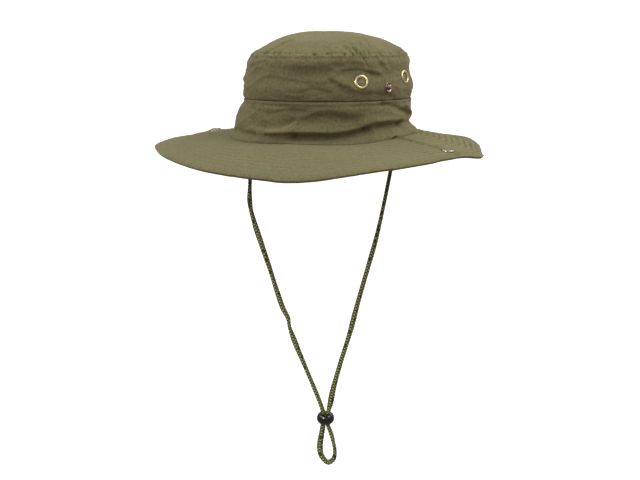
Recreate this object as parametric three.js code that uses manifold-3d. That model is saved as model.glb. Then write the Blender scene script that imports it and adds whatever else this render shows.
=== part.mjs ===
// A cloth safari hat: an oval crown of a tip, an upper wall and a lower band, a wide two-layer brim in two halves,
// screened vent eyelets, snaps that can hold the sides of the brim up, and a chin cord with a sliding bead.
// Millimetres, +Z up. The origin is the middle of the head opening, level with the seam between crown and brim.
// The front faces -Y, so the wearer's left is +X. Azimuths are in degrees from +X towards +Y.
import * as THREE from "three";
import { mergeVertices } from "three/addons/utils/BufferGeometryUtils.js";
import Module from "manifold-3d";

const wasm = await Module();
wasm.setup();

// ---------------------------------------------------------------- driving sizes

const GAP = 0.3; // clearance between neighbouring pieces
const CLOTH = 1.4; // thickness of the crown's wall
const BRIM_CLOTH = 2.2; // thickness of the two layers of the brim
const HEAD = { halfWide: 84.5, halfLong: 100.5 }; // the oval of the crown at the brim seam, along X and Y
const LEAN_TOWARDS = 38; // azimuth that the soft crown leans towards
const DOME = { rise: 22.3, fullness: 2.45, lean: 5.3 }; // the tip above the top seam

// The seams are level rings that sag a little: nominal height, the sag's size, and the azimuth where it is highest.
const SEAMS = {
  brim: { height: 0, sag: 0, highest: 0 },
  middle: { height: 36.3, sag: 3.6, highest: -82 },
  top: { height: 80.6, sag: 1, highest: -40 },
};

// The crown's wall: its girth at each height, as a share of the head opening's oval, and how far it leans there.
const CROWN = [
  { height: 0, girth: 0.998, lean: 1.9 },
  { height: 4, girth: 0.987, lean: 0.4 },
  { height: 9, girth: 0.98, lean: -0.5 },
  { height: 15, girth: 0.974, lean: -0.3 },
  { height: 22, girth: 0.961, lean: 0.8 },
  { height: 30, girth: 0.949, lean: 2.3 },
  { height: 36.3, girth: 0.926, lean: 3.6 },
  { height: 42, girth: 0.934, lean: 3.8 },
  { height: 48, girth: 0.938, lean: 4.4 },
  { height: 55, girth: 0.92, lean: 4.2 },
  { height: 60, girth: 0.908, lean: 4.2 },
  { height: 65, girth: 0.895, lean: 4.3 },
  { height: 70, girth: 0.901, lean: 4.9 },
  { height: 75, girth: 0.895, lean: 5.5 },
  { height: 78.5, girth: 0.872, lean: 5.6 },
  { height: 80.6, girth: 0.85, lean: 5.6 },
];

// The brim's edge: how far it reaches beyond the head opening, and its height, round the hat from the left side.
const BRIM_STEP = 15; // degrees from row to row
const BRIM = [
  { reach: 75.5, edge: -9.8 },
  { reach: 74, edge: -14.6 },
  { reach: 72.5, edge: -19.2 },
  { reach: 72.5, edge: -18.6 },
  { reach: 75, edge: -14.8 },
  { reach: 76, edge: -15.2 },
  { reach: 76.5, edge: -14.4 },
  { reach: 77, edge: -14.2 },
  { reach: 77, edge: -14.4 },
  { reach: 77, edge: -14.8 },
  { reach: 77, edge: -15 },
  { reach: 77, edge: -14 },
  { reach: 77, edge: -7.8 },
  { reach: 77, edge: -9 },
  { reach: 76.5, edge: -9.8 },
  { reach: 76, edge: -9.2 },
  { reach: 76, edge: -8.6 },
  { reach: 77.5, edge: -10.9 },
  { reach: 78, edge: -14.6 },
  { reach: 78, edge: -17 },
  { reach: 78, edge: -19.9 },
  { reach: 78, edge: -16.4 },
  { reach: 77.5, edge: -12.4 },
  { reach: 76.5, edge: -9 },
];
const BRIM_DROOP = 1.6; // 1 is a straight slope from seam to edge, more droops near the edge

// Folds of the soft crown. Each follows a path of [azimuth, height]; push is outwards, width is to either side.
const FOLDS = [
  // upper wall, front and left
  { push: 1.1, width: 4.5, path: [[-108, 76], [-70, 77], [-40, 76]] },
  { push: -1.7, width: 4, path: [[-100, 68], [-73, 70.5], [-53, 70], [-38, 68.5]] },
  { push: -1, width: 3.5, path: [[-99, 56.4], [-88, 60], [-68, 58.4], [-52, 55]] },
  { push: -1.1, width: 3, path: [[-35, 64.5], [-24.6, 66.5], [-13, 60]] },
  { push: -1, width: 3.5, path: [[-47, 61], [-33, 49], [-7, 41]] },
  // upper wall, back and right
  { push: 1, width: 4.5, path: [[55, 76], [95, 77], [135, 76]] },
  { push: -1.6, width: 4, path: [[60, 67], [95, 70], [130, 68]] },
  { push: -1, width: 3.5, path: [[75, 56], [100, 59], [125, 55]] },
  { push: -1.1, width: 3.5, path: [[214, 62], [226, 50], [243, 44]] },
  // lower band, front and left
  { push: -2.4, width: 3.2, path: [[-80, 6.5], [-61, 7.5], [-43, 7.8], [-28, 13.5], [-15, 16.7], [12, 13.6]] },
  { push: 1.3, width: 5, path: [[-80, 13], [-60, 14], [-43, 14.5], [-28, 20], [-12, 23], [12, 20]] },
  { push: -1, width: 3, path: [[-58, 22], [-50, 29.9], [-38.5, 28.7], [-28, 22.6]] },
  { push: -1, width: 3, path: [[-108, 31], [-85, 29], [-59, 31]] },
  { push: -1, width: 4, path: [[-97, 19.5], [-79, 16.7], [-66, 13.8]] },
  { push: -0.9, width: 3, path: [[-7, 33], [30, 20]] },
  { push: -1.5, width: 3.5, path: [[15, 17], [31, 6]] },
  { push: -1.4, width: 3.5, path: [[-116, 5.6], [-94, 6]] },
  // lower band, back and right
  { push: -2.2, width: 3.2, path: [[50, 9], [85, 7], [120, 8], [150, 13]] },
  { push: 1.2, width: 5, path: [[50, 16], [85, 14], [120, 15], [150, 20]] },
  { push: -1, width: 3, path: [[70, 27], [95, 30], [125, 25]] },
];

// Where the metal sits. The right side of the hat mirrors the left.
const VENTS = [
  { name: "front", azimuth: -26, height: 56.4 },
  { name: "back", azimuth: 15, height: 58 },
];
const STUD_SEAT = { azimuth: -5.7, height: 48.8 };
const SOCKET_SEAT = 59; // distance of the brim's snap from the head opening, on the side seam
const CALM = 13; // radius round a fitting in which its clamp flattens the folds

const EYELET = { rim: 6, proud: 1.1, throat: 4.3, barrel: 4.8, washer: 5.9, plate: 0.5, screen: 0.35 };
const STUD = { base: 5, lip: 0.9, dish: 0.6, ball: 2.1, proud: 3.5, neck: 1.5, cap: 4.6, plate: 0.9 };
const SOCKET = { ring: 6, proud: 1.7, well: 2.3, floor: 0.6, shank: 1.9, cap: 6, dome: 1.3 };

// The chin cord hangs in an upright plane through the hat's axis. Its ends are sewn to the inside of the crown.
const CORD_PLANE = 14; // azimuth of that plane
const CORD_RADIUS = 2.1;
const CORD_SIDES = 10;
const CORD_STEPS = 80;
// [across, height] from the right end, through the bead, round the loop and back up to the left end.
const CORD_ROUTE = [
  [-79.3, 12.5], [-79.2, 1], [-80.2, -12], [-83.4, -32], [-86.2, -58], [-86.7, -82], [-82, -101], [-72.8, -127],
  [-63.2, -153], [-54.2, -179.5], [-34, -232], [-22, -258], [-9.9, -284.2], [-3.4, -299], [-0.2, -308.5],
  [0.4, -317], [-0.4, -326], [-2.2, -337], [-3.9, -349], [-2.4, -361], [5.4, -368.3], [12.6, -362.5],
  [14.2, -353], [12.3, -342], [9.1, -331], [5.8, -323], [5.2, -315.5], [6, -307.5], [8.4, -297], [11.6, -280.3],
  [19.2, -251], [30.5, -212.7], [39.8, -175.7], [49.6, -139.7], [59, -104.6], [66.2, -70.6], [72.9, -34.5],
  [76.6, -12], [77.6, 1], [76.3, 12.5],
];
const BEAD = { across: 2.8, height: -315, halfTall: 6.75, belly: 9.4, shoulder: 7.1, hole: 5.2, mouth: 6.3 };

// ---------------------------------------------------------------- small helpers

const radians = THREE.MathUtils.degToRad;
const mix = THREE.MathUtils.lerp;

/** The place among the rows of a table where x falls, as [row, share of the way to the next]. */
function placeIn(keys, x) {
  let row = 0;
  while (row < keys.length - 2 && x > keys[row + 1]) row += 1;
  return [row, (x - keys[row]) / (keys[row + 1] - keys[row])];
}

/** A smooth curve through a table's rows: cubic pieces that share the slope at each row. */
function smooth(keys, values, x) {
  const [row, share] = placeIn(keys, x);
  const last = keys.length - 1;
  const slope = (at) => {
    const before = Math.max(at - 1, 0);
    const after = Math.min(at + 1, last);
    return (values[after] - values[before]) / (keys[after] - keys[before]);
  };
  const span = keys[row + 1] - keys[row];
  const s2 = share * share;
  const s3 = s2 * share;
  return (
    (2 * s3 - 3 * s2 + 1) * values[row] +
    (s3 - 2 * s2 + share) * span * slope(row) +
    (3 * s2 - 2 * s3) * values[row + 1] +
    (s3 - s2) * span * slope(row + 1)
  );
}

const around = (azimuth) => ((azimuth % 360) + 360) % 360;
/** The shorter way round from one azimuth to another, in degrees. */
const turn = (from, to) => around(to - from + 180) - 180;

const CROWN_HEIGHTS = CROWN.map((row) => row.height);
const crownAt = (key, height) => smooth(CROWN_HEIGHTS, CROWN.map((row) => row[key]), height);

// One row more before the first and two after the last, so that the brim's curve closes on itself.
const BRIM_ROWS = [-1, ...BRIM.keys(), BRIM.length, BRIM.length + 1];
const BRIM_AZIMUTHS = BRIM_ROWS.map((row) => row * BRIM_STEP);
const BRIM_LOOP = BRIM_ROWS.map((row) => BRIM[(row + BRIM.length) % BRIM.length]);
const brimAt = (key, azimuth) => smooth(BRIM_AZIMUTHS, BRIM_LOOP.map((row) => row[key]), around(azimuth));

// ---------------------------------------------------------------- the surfaces of the hat

const seamHeight = (seam, azimuth) => seam.height + seam.sag * Math.cos(radians(azimuth - seam.highest));

/** The level direction out of the head opening's oval at an azimuth. */
function outwards(azimuth) {
  const x = Math.cos(radians(azimuth)) / HEAD.halfWide;
  const y = Math.sin(radians(azimuth)) / HEAD.halfLong;
  return new THREE.Vector3(x, y, 0).normalize();
}

/** Distance over the wall between two places of given azimuth and height, as [along, up]. */
function overWall([azimuthA, heightA], [azimuthB, heightB]) {
  const wallRadius = (HEAD.halfWide + HEAD.halfLong) / 2;
  return [radians(turn(azimuthA, azimuthB)) * wallRadius, heightB - heightA];
}

function distanceToPath(path, place) {
  let nearest = Infinity;
  for (let i = 0; i + 1 < path.length; i += 1) {
    const [spanX, spanY] = overWall(path[i], path[i + 1]);
    const [x, y] = overWall(path[i], place);
    const share = THREE.MathUtils.clamp((x * spanX + y * spanY) / (spanX * spanX + spanY * spanY), 0, 1);
    nearest = Math.min(nearest, Math.hypot(x - share * spanX, y - share * spanY));
  }
  return nearest;
}

const mirrored = (azimuth) => 180 - azimuth;
const WALL_SEATS = [...VENTS, STUD_SEAT].flatMap(({ azimuth, height }) => [
  [azimuth, height],
  [mirrored(azimuth), height],
]);

/** How far the folds push the wall out at a place, with the cloth flat where metal clamps it. */
function foldPush(azimuth, height) {
  const place = [azimuth, height];
  let push = 0;
  for (const fold of FOLDS) push += fold.push * Math.exp(-((distanceToPath(fold.path, place) / fold.width) ** 2));
  for (const seat of WALL_SEATS) push *= 1 - Math.exp(-((Math.hypot(...overWall(seat, place)) / CALM) ** 4));
  return push;
}

/** A point of the crown's outer face, at a share of the way from a lower seam to an upper one. */
function wallPoint(lower, upper, azimuth, share) {
  const level = mix(lower.height, upper.height, share);
  const height = mix(seamHeight(lower, azimuth), seamHeight(upper, azimuth), share);
  const girth = crownAt("girth", level);
  const lean = crownAt("lean", level);
  const point = new THREE.Vector3(
    HEAD.halfWide * girth * Math.cos(radians(azimuth)) + lean * Math.cos(radians(LEAN_TOWARDS)),
    HEAD.halfLong * girth * Math.sin(radians(azimuth)) + lean * Math.sin(radians(LEAN_TOWARDS)),
    height,
  );
  return point.addScaledVector(outwards(azimuth), foldPush(azimuth, height));
}

/** A point of the crown's upper wall at a real height. */
function upperWallAt(azimuth, height) {
  const low = seamHeight(SEAMS.middle, azimuth);
  const high = seamHeight(SEAMS.top, azimuth);
  return wallPoint(SEAMS.middle, SEAMS.top, azimuth, (height - low) / (high - low));
}

/** A point of the tip's outer face: share is 0 at its middle and 1 at the top seam. */
function tipPoint(azimuth, share) {
  const rim = wallPoint(SEAMS.middle, SEAMS.top, azimuth, 1);
  const middle = new THREE.Vector3(
    DOME.lean * Math.cos(radians(LEAN_TOWARDS)),
    DOME.lean * Math.sin(radians(LEAN_TOWARDS)),
    SEAMS.top.height,
  );
  const point = middle.lerp(rim, share);
  point.z += DOME.rise * (1 - share ** DOME.fullness) + GAP / 2;
  return point;
}

/** The way into the tip's cloth: level at the top seam, so that the edges meet flat, and square to the dome above. */
function tipInwards(azimuth, share) {
  const radius = (CROWN.at(-1).girth * (HEAD.halfWide + HEAD.halfLong)) / 2;
  const slope = (DOME.rise * DOME.fullness * share ** (DOME.fullness - 1)) / radius;
  const way = outwards(azimuth).multiplyScalar(share < 1 ? -slope : -1);
  if (share < 1) way.z = -1;
  return way.normalize();
}

/** A point of the brim's upper face: distance is 0 at the crown's outer face and 1 at the brim's edge. */
function brimPoint(azimuth, distance) {
  const seam = wallPoint(SEAMS.brim, SEAMS.middle, azimuth, 0);
  if (distance < 0) return seam.addScaledVector(outwards(azimuth), distance * CLOTH);
  const reach = brimAt("reach", azimuth);
  const edge = new THREE.Vector3(
    (HEAD.halfWide + reach) * Math.cos(radians(azimuth)),
    (HEAD.halfLong + reach) * Math.sin(radians(azimuth)),
    seam.z,
  );
  const point = seam.lerp(edge, distance);
  point.z += brimAt("edge", azimuth) * distance ** BRIM_DROOP;
  return point;
}

// ---------------------------------------------------------------- making solids

/** A closed wall between two faces. Seen from outside, rows run up and columns run to the right, and may close. */
function wall(outer, inner, rows, columns, closed) {
  const across = closed ? columns : columns + 1;
  const positions = [];
  for (const face of [outer, inner]) {
    for (let row = 0; row <= rows; row += 1) {
      for (let column = 0; column < across; column += 1) positions.push(...face(row, column));
    }
  }
  const at = (face, row, column) => (face * (rows + 1) + row) * across + (column % across);
  const index = [];
  const quad = (a, b, c, d) => index.push(a, b, c, a, c, d);
  for (let column = 0; column < columns; column += 1) {
    const next = column + 1;
    for (let row = 0; row < rows; row += 1) {
      quad(at(0, row, column), at(0, row, next), at(0, row + 1, next), at(0, row + 1, column));
      quad(at(1, row, column), at(1, row + 1, column), at(1, row + 1, next), at(1, row, next));
    }
    quad(at(0, 0, column), at(1, 0, column), at(1, 0, next), at(0, 0, next));
    quad(at(0, rows, column), at(0, rows, next), at(1, rows, next), at(1, rows, column));
  }
  if (!closed) {
    for (let row = 0; row < rows; row += 1) {
      quad(at(0, row, 0), at(0, row + 1, 0), at(1, row + 1, 0), at(1, row, 0));
      quad(at(0, row, columns), at(1, row, columns), at(1, row + 1, columns), at(0, row + 1, columns));
    }
  }
  const geometry = new THREE.BufferGeometry();
  geometry.setAttribute("position", new THREE.Float32BufferAttribute(positions, 3));
  geometry.setIndex(index);
  return geometry;
}

function toSolid(geometry) {
  const bare = geometry.clone();
  bare.deleteAttribute("normal");
  bare.deleteAttribute("uv");
  const merged = mergeVertices(bare, 1e-4);
  return new wasm.Manifold(
    new wasm.Mesh({
      numProp: 3,
      vertProperties: new Float32Array(merged.attributes.position.array),
      triVerts: new Uint32Array(merged.index.array),
    }),
  );
}

function fromSolid(solid) {
  const { vertProperties, triVerts } = solid.getMesh();
  const geometry = new THREE.BufferGeometry();
  geometry.setAttribute("position", new THREE.Float32BufferAttribute(vertProperties, 3));
  geometry.setIndex(Array.from(triVerts));
  geometry.computeVertexNormals();
  return geometry;
}

/** The placement of something turned about +Y so that it stands on a seat, with +Y out along the seat's normal. */
function standOn(seat) {
  const facing = new THREE.Quaternion().setFromUnitVectors(new THREE.Vector3(0, 1, 0), seat.normal);
  return new THREE.Matrix4().compose(seat.point, facing, new THREE.Vector3(1, 1, 1));
}

/** Cloth with round holes punched through it, square to each seat. */
function punched(geometry, holes) {
  const depth = 16;
  let solid = toSolid(geometry);
  for (const { seat, radius } of holes) {
    const punch = new THREE.CylinderGeometry(radius, radius, depth, 16).applyMatrix4(standOn(seat));
    solid = solid.subtract(toSolid(punch));
  }
  return fromSolid(solid);
}

/**
 * A seat on a surface: its normal, its point, moved out over the highest cloth within the fitting's radius,
 * and how deep the cloth's curve is there, from its highest to its lowest place.
 */
function seatOn(surface, u, v, reach, radius) {
  const point = surface(u, v);
  const alongU = surface(u + reach.u, v).sub(surface(u - reach.u, v));
  const alongV = surface(u, v + reach.v).sub(surface(u, v - reach.v));
  const normal = alongU.cross(alongV).normalize();
  const heights = [0];
  const spokes = 12;
  for (let spoke = 0; spoke < spokes; spoke += 1) {
    const angle = (spoke / spokes) * 2 * Math.PI;
    const near = surface(u + reach.u * Math.cos(angle), v + reach.v * Math.sin(angle)).sub(point);
    const flat = near.clone().projectOnPlane(normal).length();
    heights.push(near.dot(normal) * Math.min(1, radius / flat));
  }
  const highest = Math.max(...heights);
  return { point: point.addScaledVector(normal, highest), normal, curve: highest - Math.min(...heights) };
}

const wallSeat = (azimuth, height, radius) => {
  const degrees = (radius / HEAD.halfWide) * (180 / Math.PI);
  return seatOn(upperWallAt, azimuth, height, { u: degrees, v: radius }, radius);
};

// ---------------------------------------------------------------- cloth

const CROWN_COLUMNS = 64;
const azimuthOf = (column) => (column * 360) / CROWN_COLUMNS;

/** One panel of the crown's wall, between two seams. Its edges stop half a gap short of the seams. */
function crownWall(lower, upper, rows, startGap) {
  const outer = (row, column) => {
    const point = wallPoint(lower, upper, azimuthOf(column), row / rows);
    if (row === 0) point.z += startGap;
    if (row === rows) point.z -= GAP / 2;
    return point;
  };
  const inner = (row, column) => outer(row, column).addScaledVector(outwards(azimuthOf(column)), -CLOTH);
  return wall(outer, inner, rows, CROWN_COLUMNS, true);
}

function crownTip() {
  const rows = 6;
  const share = (row) => (1 - row / rows) ** 0.8;
  const outer = (row, column) => tipPoint(azimuthOf(column), share(row));
  const inner = (row, column) =>
    outer(row, column).addScaledVector(tipInwards(azimuthOf(column), share(row)), CLOTH);
  return wall(outer, inner, rows, CROWN_COLUMNS, true);
}

/** Half of the brim, from one side seam to the other. Its inner edge runs under the crown's cloth. */
function brimHalf(fromAzimuth, holes) {
  const columns = CROWN_COLUMNS / 2;
  const rows = 7;
  const halfSign = fromAzimuth === 0 ? 1 : -1;
  const distance = (row) => (row === rows ? -1 : 1 - row / (rows - 1));
  const upper = (row, column) => {
    const point = brimPoint(fromAzimuth + (column / columns) * 180, distance(row));
    if (column === 0 || column === columns) point.y = (halfSign * GAP) / 2;
    return point;
  };
  const lower = (row, column) => {
    const point = upper(row, column);
    point.z -= BRIM_CLOTH;
    return point;
  };
  return punched(wall(upper, lower, rows, columns, false), holes);
}

// ---------------------------------------------------------------- metal, turned about its own axis

const turned = (profile, segments) =>
  new THREE.LatheGeometry(
    profile.map(([radius, height]) => new THREE.Vector2(radius, height)),
    segments,
  );

/** A rolled brass rim and barrel with a woven screen across its throat, and a washer behind the cloth. */
function eyeletProfile(curve) {
  const { rim, proud, throat, barrel, washer, plate, screen } = EYELET;
  const back = -(CLOTH + curve + GAP);
  return [
    [0, -screen / 2],
    [throat, -screen / 2],
    [throat, back - plate],
    [washer, back - plate],
    [washer, back],
    [barrel, back],
    [barrel, GAP],
    [rim - 0.2, GAP],
    [rim, GAP + 0.35],
    [rim - 0.35, proud - 0.2],
    [rim - 0.9, proud],
    [throat + 0.3, proud - 0.15],
    [throat, proud - 0.5],
    [throat, screen / 2],
    [0, screen / 2],
  ];
}

/** A dished base with a raised lip, a ball on a neck, and a riveted cap behind the cloth. */
function studProfile(curve) {
  const { base, lip, dish, ball, proud, neck, cap, plate } = STUD;
  const back = -(CLOTH + curve + GAP);
  return [
    [0, back - plate],
    [cap - 0.8, back - plate],
    [cap, back - plate / 2],
    [cap, back],
    [neck, back],
    [neck, GAP],
    [base - 0.2, GAP],
    [base, GAP + 0.3],
    [base - 0.3, GAP + lip],
    [base - 0.9, GAP + lip],
    [base - 1.5, dish],
    [neck + 0.3, dish],
    [neck, dish + 0.3],
    [ball, proud - ball + 0.4],
    [ball * 0.85, proud - 0.6],
    [ball * 0.45, proud - 0.1],
    [0, proud],
  ];
}

/** A raised ring round a well that takes the stud's ball, a shank through the brim, and a domed cap underneath. */
function socketProfile(curve) {
  const { ring, proud, well, floor, shank, cap, dome } = SOCKET;
  const back = -(BRIM_CLOTH + curve + GAP);
  return [
    [0, back - dome],
    [cap * 0.55, back - dome * 0.85],
    [cap * 0.88, back - dome * 0.5],
    [cap, back],
    [shank, back],
    [shank, GAP],
    [ring - 0.2, GAP],
    [ring, GAP + 0.4],
    [ring - 0.5, proud - 0.2],
    [ring - 1.3, proud],
    [well + 0.6, proud - 0.1],
    [well, proud - 0.5],
    [well, floor],
    [0, floor],
  ];
}

// ---------------------------------------------------------------- chin cord

function cordCurve() {
  const along = radians(CORD_PLANE);
  const points = CORD_ROUTE.map(
    ([across, height]) => new THREE.Vector3(across * Math.cos(along), across * Math.sin(along), height),
  );
  return new THREE.CatmullRomCurve3(points);
}

function chinCord() {
  const section = new THREE.Shape(
    Array.from({ length: CORD_SIDES }, (_, side) => {
      const angle = (side / CORD_SIDES) * 2 * Math.PI;
      return new THREE.Vector2(CORD_RADIUS * Math.cos(angle), CORD_RADIUS * Math.sin(angle));
    }),
  );
  return new THREE.ExtrudeGeometry(section, {
    steps: CORD_STEPS,
    extrudePath: cordCurve(),
    bevelEnabled: false,
  });
}

/** A barrel bead, turned about +Y, whose hole flares at both ends. */
function beadGeometry() {
  const { halfTall, belly, shoulder, hole, mouth } = BEAD;
  const outside = [
    [mouth, -halfTall],
    [shoulder, -halfTall],
    [belly - 0.7, -halfTall * 0.45],
    [belly, -halfTall * 0.1],
    [belly, halfTall * 0.1],
    [belly - 0.7, halfTall * 0.45],
    [shoulder, halfTall],
    [mouth, halfTall],
  ];
  const inside = [
    [hole, halfTall * 0.5],
    [hole, -halfTall * 0.5],
  ];
  return turned([...outside, ...inside, outside[0]], 24);
}

// ---------------------------------------------------------------- the hat

const FINISH = {
  cloth: { color: 0x6f6a4a, roughness: 0.92, metalness: 0 },
  brass: { color: 0xc9b27a, roughness: 0.35, metalness: 1 },
  nickel: { color: 0xb9b5a6, roughness: 0.3, metalness: 1 },
  cord: { color: 0x5f6a33, roughness: 0.85, metalness: 0 },
  plastic: { color: 0x0d0d0e, roughness: 0.25, metalness: 0 },
};

const hat = new THREE.Group();

function piece(name, geometry, finish, seat) {
  const mesh = new THREE.Mesh(geometry, new THREE.MeshStandardMaterial(FINISH[finish]));
  mesh.name = name;
  if (seat) mesh.applyMatrix4(standOn(seat));
  hat.add(mesh);
}

const holesInWall = [];
const socketSeats = [];
for (const side of ["left", "right"]) {
  const turnedTo = side === "left" ? (azimuth) => azimuth : mirrored;
  for (const vent of VENTS) {
    const seat = wallSeat(turnedTo(vent.azimuth), vent.height, EYELET.rim);
    holesInWall.push({ seat, radius: EYELET.barrel + GAP });
    piece(`eyelet_${side}_${vent.name}`, turned(eyeletProfile(seat.curve), 20), "brass", seat);
  }
  const stud = wallSeat(turnedTo(STUD_SEAT.azimuth), STUD_SEAT.height, STUD.base);
  holesInWall.push({ seat: stud, radius: STUD.neck + GAP });
  piece(`snap_stud_${side}`, turned(studProfile(stud.curve), 16), "nickel", stud);

  const share = SOCKET_SEAT / brimAt("reach", turnedTo(0));
  const acrossBrim = { u: (SOCKET.ring / (HEAD.halfWide + SOCKET_SEAT)) * (180 / Math.PI), v: SOCKET.ring / 75 };
  const socket = seatOn(brimPoint, turnedTo(0), share, acrossBrim, SOCKET.ring);
  if (socket.normal.z < 0) socket.normal.negate();
  socketSeats.push({ seat: socket, radius: SOCKET.shank + GAP });
  piece(`snap_socket_${side}`, turned(socketProfile(socket.curve), 16), "nickel", socket);
}

piece("crown_tip", crownTip(), "cloth");
piece("crown_side", punched(crownWall(SEAMS.middle, SEAMS.top, 8, GAP / 2), holesInWall), "cloth");
piece("crown_band", crownWall(SEAMS.brim, SEAMS.middle, 7, GAP), "cloth");
piece("brim_back", brimHalf(0, socketSeats), "cloth");
piece("brim_front", brimHalf(180, socketSeats), "cloth");

piece("chin_cord", chinCord(), "cord");
piece("cord_bead", beadGeometry(), "plastic", {
  point: new THREE.Vector3(
    BEAD.across * Math.cos(radians(CORD_PLANE)),
    BEAD.across * Math.sin(radians(CORD_PLANE)),
    BEAD.height,
  ),
  normal: new THREE.Vector3(0, 0, 1),
});

export default hat;
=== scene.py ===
"""A cloth safari hat, finished round its packed construction.

Metres, +Z up. The origin is the middle of the head opening, level with the seam between crown and brim.
The front faces -Y, so the wearer's left is +X. Azimuths are in degrees from +X towards +Y.
"""
import itertools
import math

import bmesh
import bpy
import numpy as np
from mathutils import Matrix, Vector


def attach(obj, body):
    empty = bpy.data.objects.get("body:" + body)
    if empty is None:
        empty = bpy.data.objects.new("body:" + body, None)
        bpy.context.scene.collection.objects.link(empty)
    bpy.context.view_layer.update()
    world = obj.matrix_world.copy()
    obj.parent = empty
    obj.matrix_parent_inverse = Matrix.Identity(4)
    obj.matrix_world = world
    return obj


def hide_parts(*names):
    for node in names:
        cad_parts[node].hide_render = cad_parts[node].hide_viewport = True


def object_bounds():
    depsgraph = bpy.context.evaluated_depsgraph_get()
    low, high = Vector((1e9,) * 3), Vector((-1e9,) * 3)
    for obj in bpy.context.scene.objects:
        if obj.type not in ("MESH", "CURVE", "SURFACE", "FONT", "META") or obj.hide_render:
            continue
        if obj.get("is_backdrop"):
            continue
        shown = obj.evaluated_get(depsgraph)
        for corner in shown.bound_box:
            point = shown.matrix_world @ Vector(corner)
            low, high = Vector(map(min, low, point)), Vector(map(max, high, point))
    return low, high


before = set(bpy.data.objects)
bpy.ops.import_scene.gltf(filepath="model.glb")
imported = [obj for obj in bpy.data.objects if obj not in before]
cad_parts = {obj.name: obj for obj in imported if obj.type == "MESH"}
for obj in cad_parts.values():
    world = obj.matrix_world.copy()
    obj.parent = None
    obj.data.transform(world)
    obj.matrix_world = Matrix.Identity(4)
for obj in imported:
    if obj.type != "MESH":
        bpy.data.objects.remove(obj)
cad_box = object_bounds()

# ---------------------------------------------------------------- sizes of the cloth

MM = 0.001
CLOTH = 1.4 * MM  # the crown's wall
BRIM_CLOTH = 2.2 * MM  # the two layers of the brim
HALF_WIDE = 84.5 * MM  # the head opening's oval, along X
HALF_LONG = 100.5 * MM  # and along Y
WALL_RADIUS = (HALF_WIDE + HALF_LONG) / 2
LEAN_TOWARDS = 38  # azimuth that the soft crown leans towards
DOME_RISE, DOME_FULLNESS, DOME_LEAN = 19.5 * MM, 2.48, 5.0 * MM
TIP_CROWDING, BRIM_CROWDING = 0.65, 0.6  # how much closer the cloth is divided near the top and side seams

# Seams: level on the crown's table, how far above it the sewn ring sits, how far the ring sags, and the
# azimuth where it is highest.
SEAMS = {
    "brim": (0.0, 0.0, 0.0, 0),
    "middle": (0.0363, -0.0009, 0.0031, -66),
    "top": (0.0806, -0.0002, 0.0010, -52),
}

# The crown's wall: height, girth as a share of the head opening's oval, and lean.
CROWN_LEVELS, CROWN_GIRTHS, CROWN_LEANS = np.array([
    (0.0000, 0.998, 0.0033),
    (0.0040, 0.987, 0.0018),
    (0.0090, 0.980, 0.0009),
    (0.0150, 0.974, 0.0011),
    (0.0220, 0.961, 0.0022),
    (0.0300, 0.949, 0.0037),
    (0.0363, 0.926, 0.0050),
    (0.0420, 0.934, 0.0052),
    (0.0480, 0.937, 0.0057),
    (0.0550, 0.919, 0.0056),
    (0.0600, 0.900, 0.0056),
    (0.0650, 0.894, 0.0057),
    (0.0700, 0.891, 0.0060),
    (0.0735, 0.879, 0.0064),
    (0.0765, 0.861, 0.0066),
    (0.0790, 0.846, 0.0067),
    (0.0806, 0.832, 0.0067),
]).T

# The brim's edge by even steps from the left side: its reach beyond the head opening, and its height (mm).
BRIM_STEP = 15
BRIM_REACHES, BRIM_HEIGHTS = MM * np.array([
    (76, -8.5), (78, -14), (71.5, -17.5), (73, -15), (76.5, -14.5), (76.5, -21), (77, -20), (77, -16),
    (77, -14.5), (77, -15), (77, -15.5), (77, -15), (78, -9.5), (77.5, -12), (77.5, -10), (76, -7.5),
    (76, -7.5), (78, -9), (80, -12), (79, -15), (79.5, -17.5), (79, -14), (78, -10.5), (77, -8),
]).T
BRIM_DROOP = 1.6  # 1 is a straight slope from seam to edge
# Where the brim droops straighter: azimuth, spread, and how much.
STRAIGHTER = [(68, 42, 0.81), (176, 26, 1.0), (-6, 20, 0.3)]

# The crown's flared base: azimuth, how far the seam stands out beyond the head opening, and its height (mm).
BASE_AZIMUTHS, BASE_FLARES, BASE_HEIGHTS = np.array([
    (-142, 5.0, 0.3), (-110, 5.0, 0.0), (-98, 3.6, 0.2), (-80, 2.0, 0.9), (-68, 1.2, 1.3), (-50, 0.6, 0.7),
    (-30, 0.6, 0.0), (-14, 1.4, 1.2), (0, 2.6, 2.4), (20, 3.0, 2.2), (42, 2.2, 0.4), (90, 2.4, 0.0),
    (150, 3.4, -0.4), (188, 4.4, 0.0),
]).T
FLARE_TALL = 4.6 * MM  # how high up the wall the flare reaches

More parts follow.
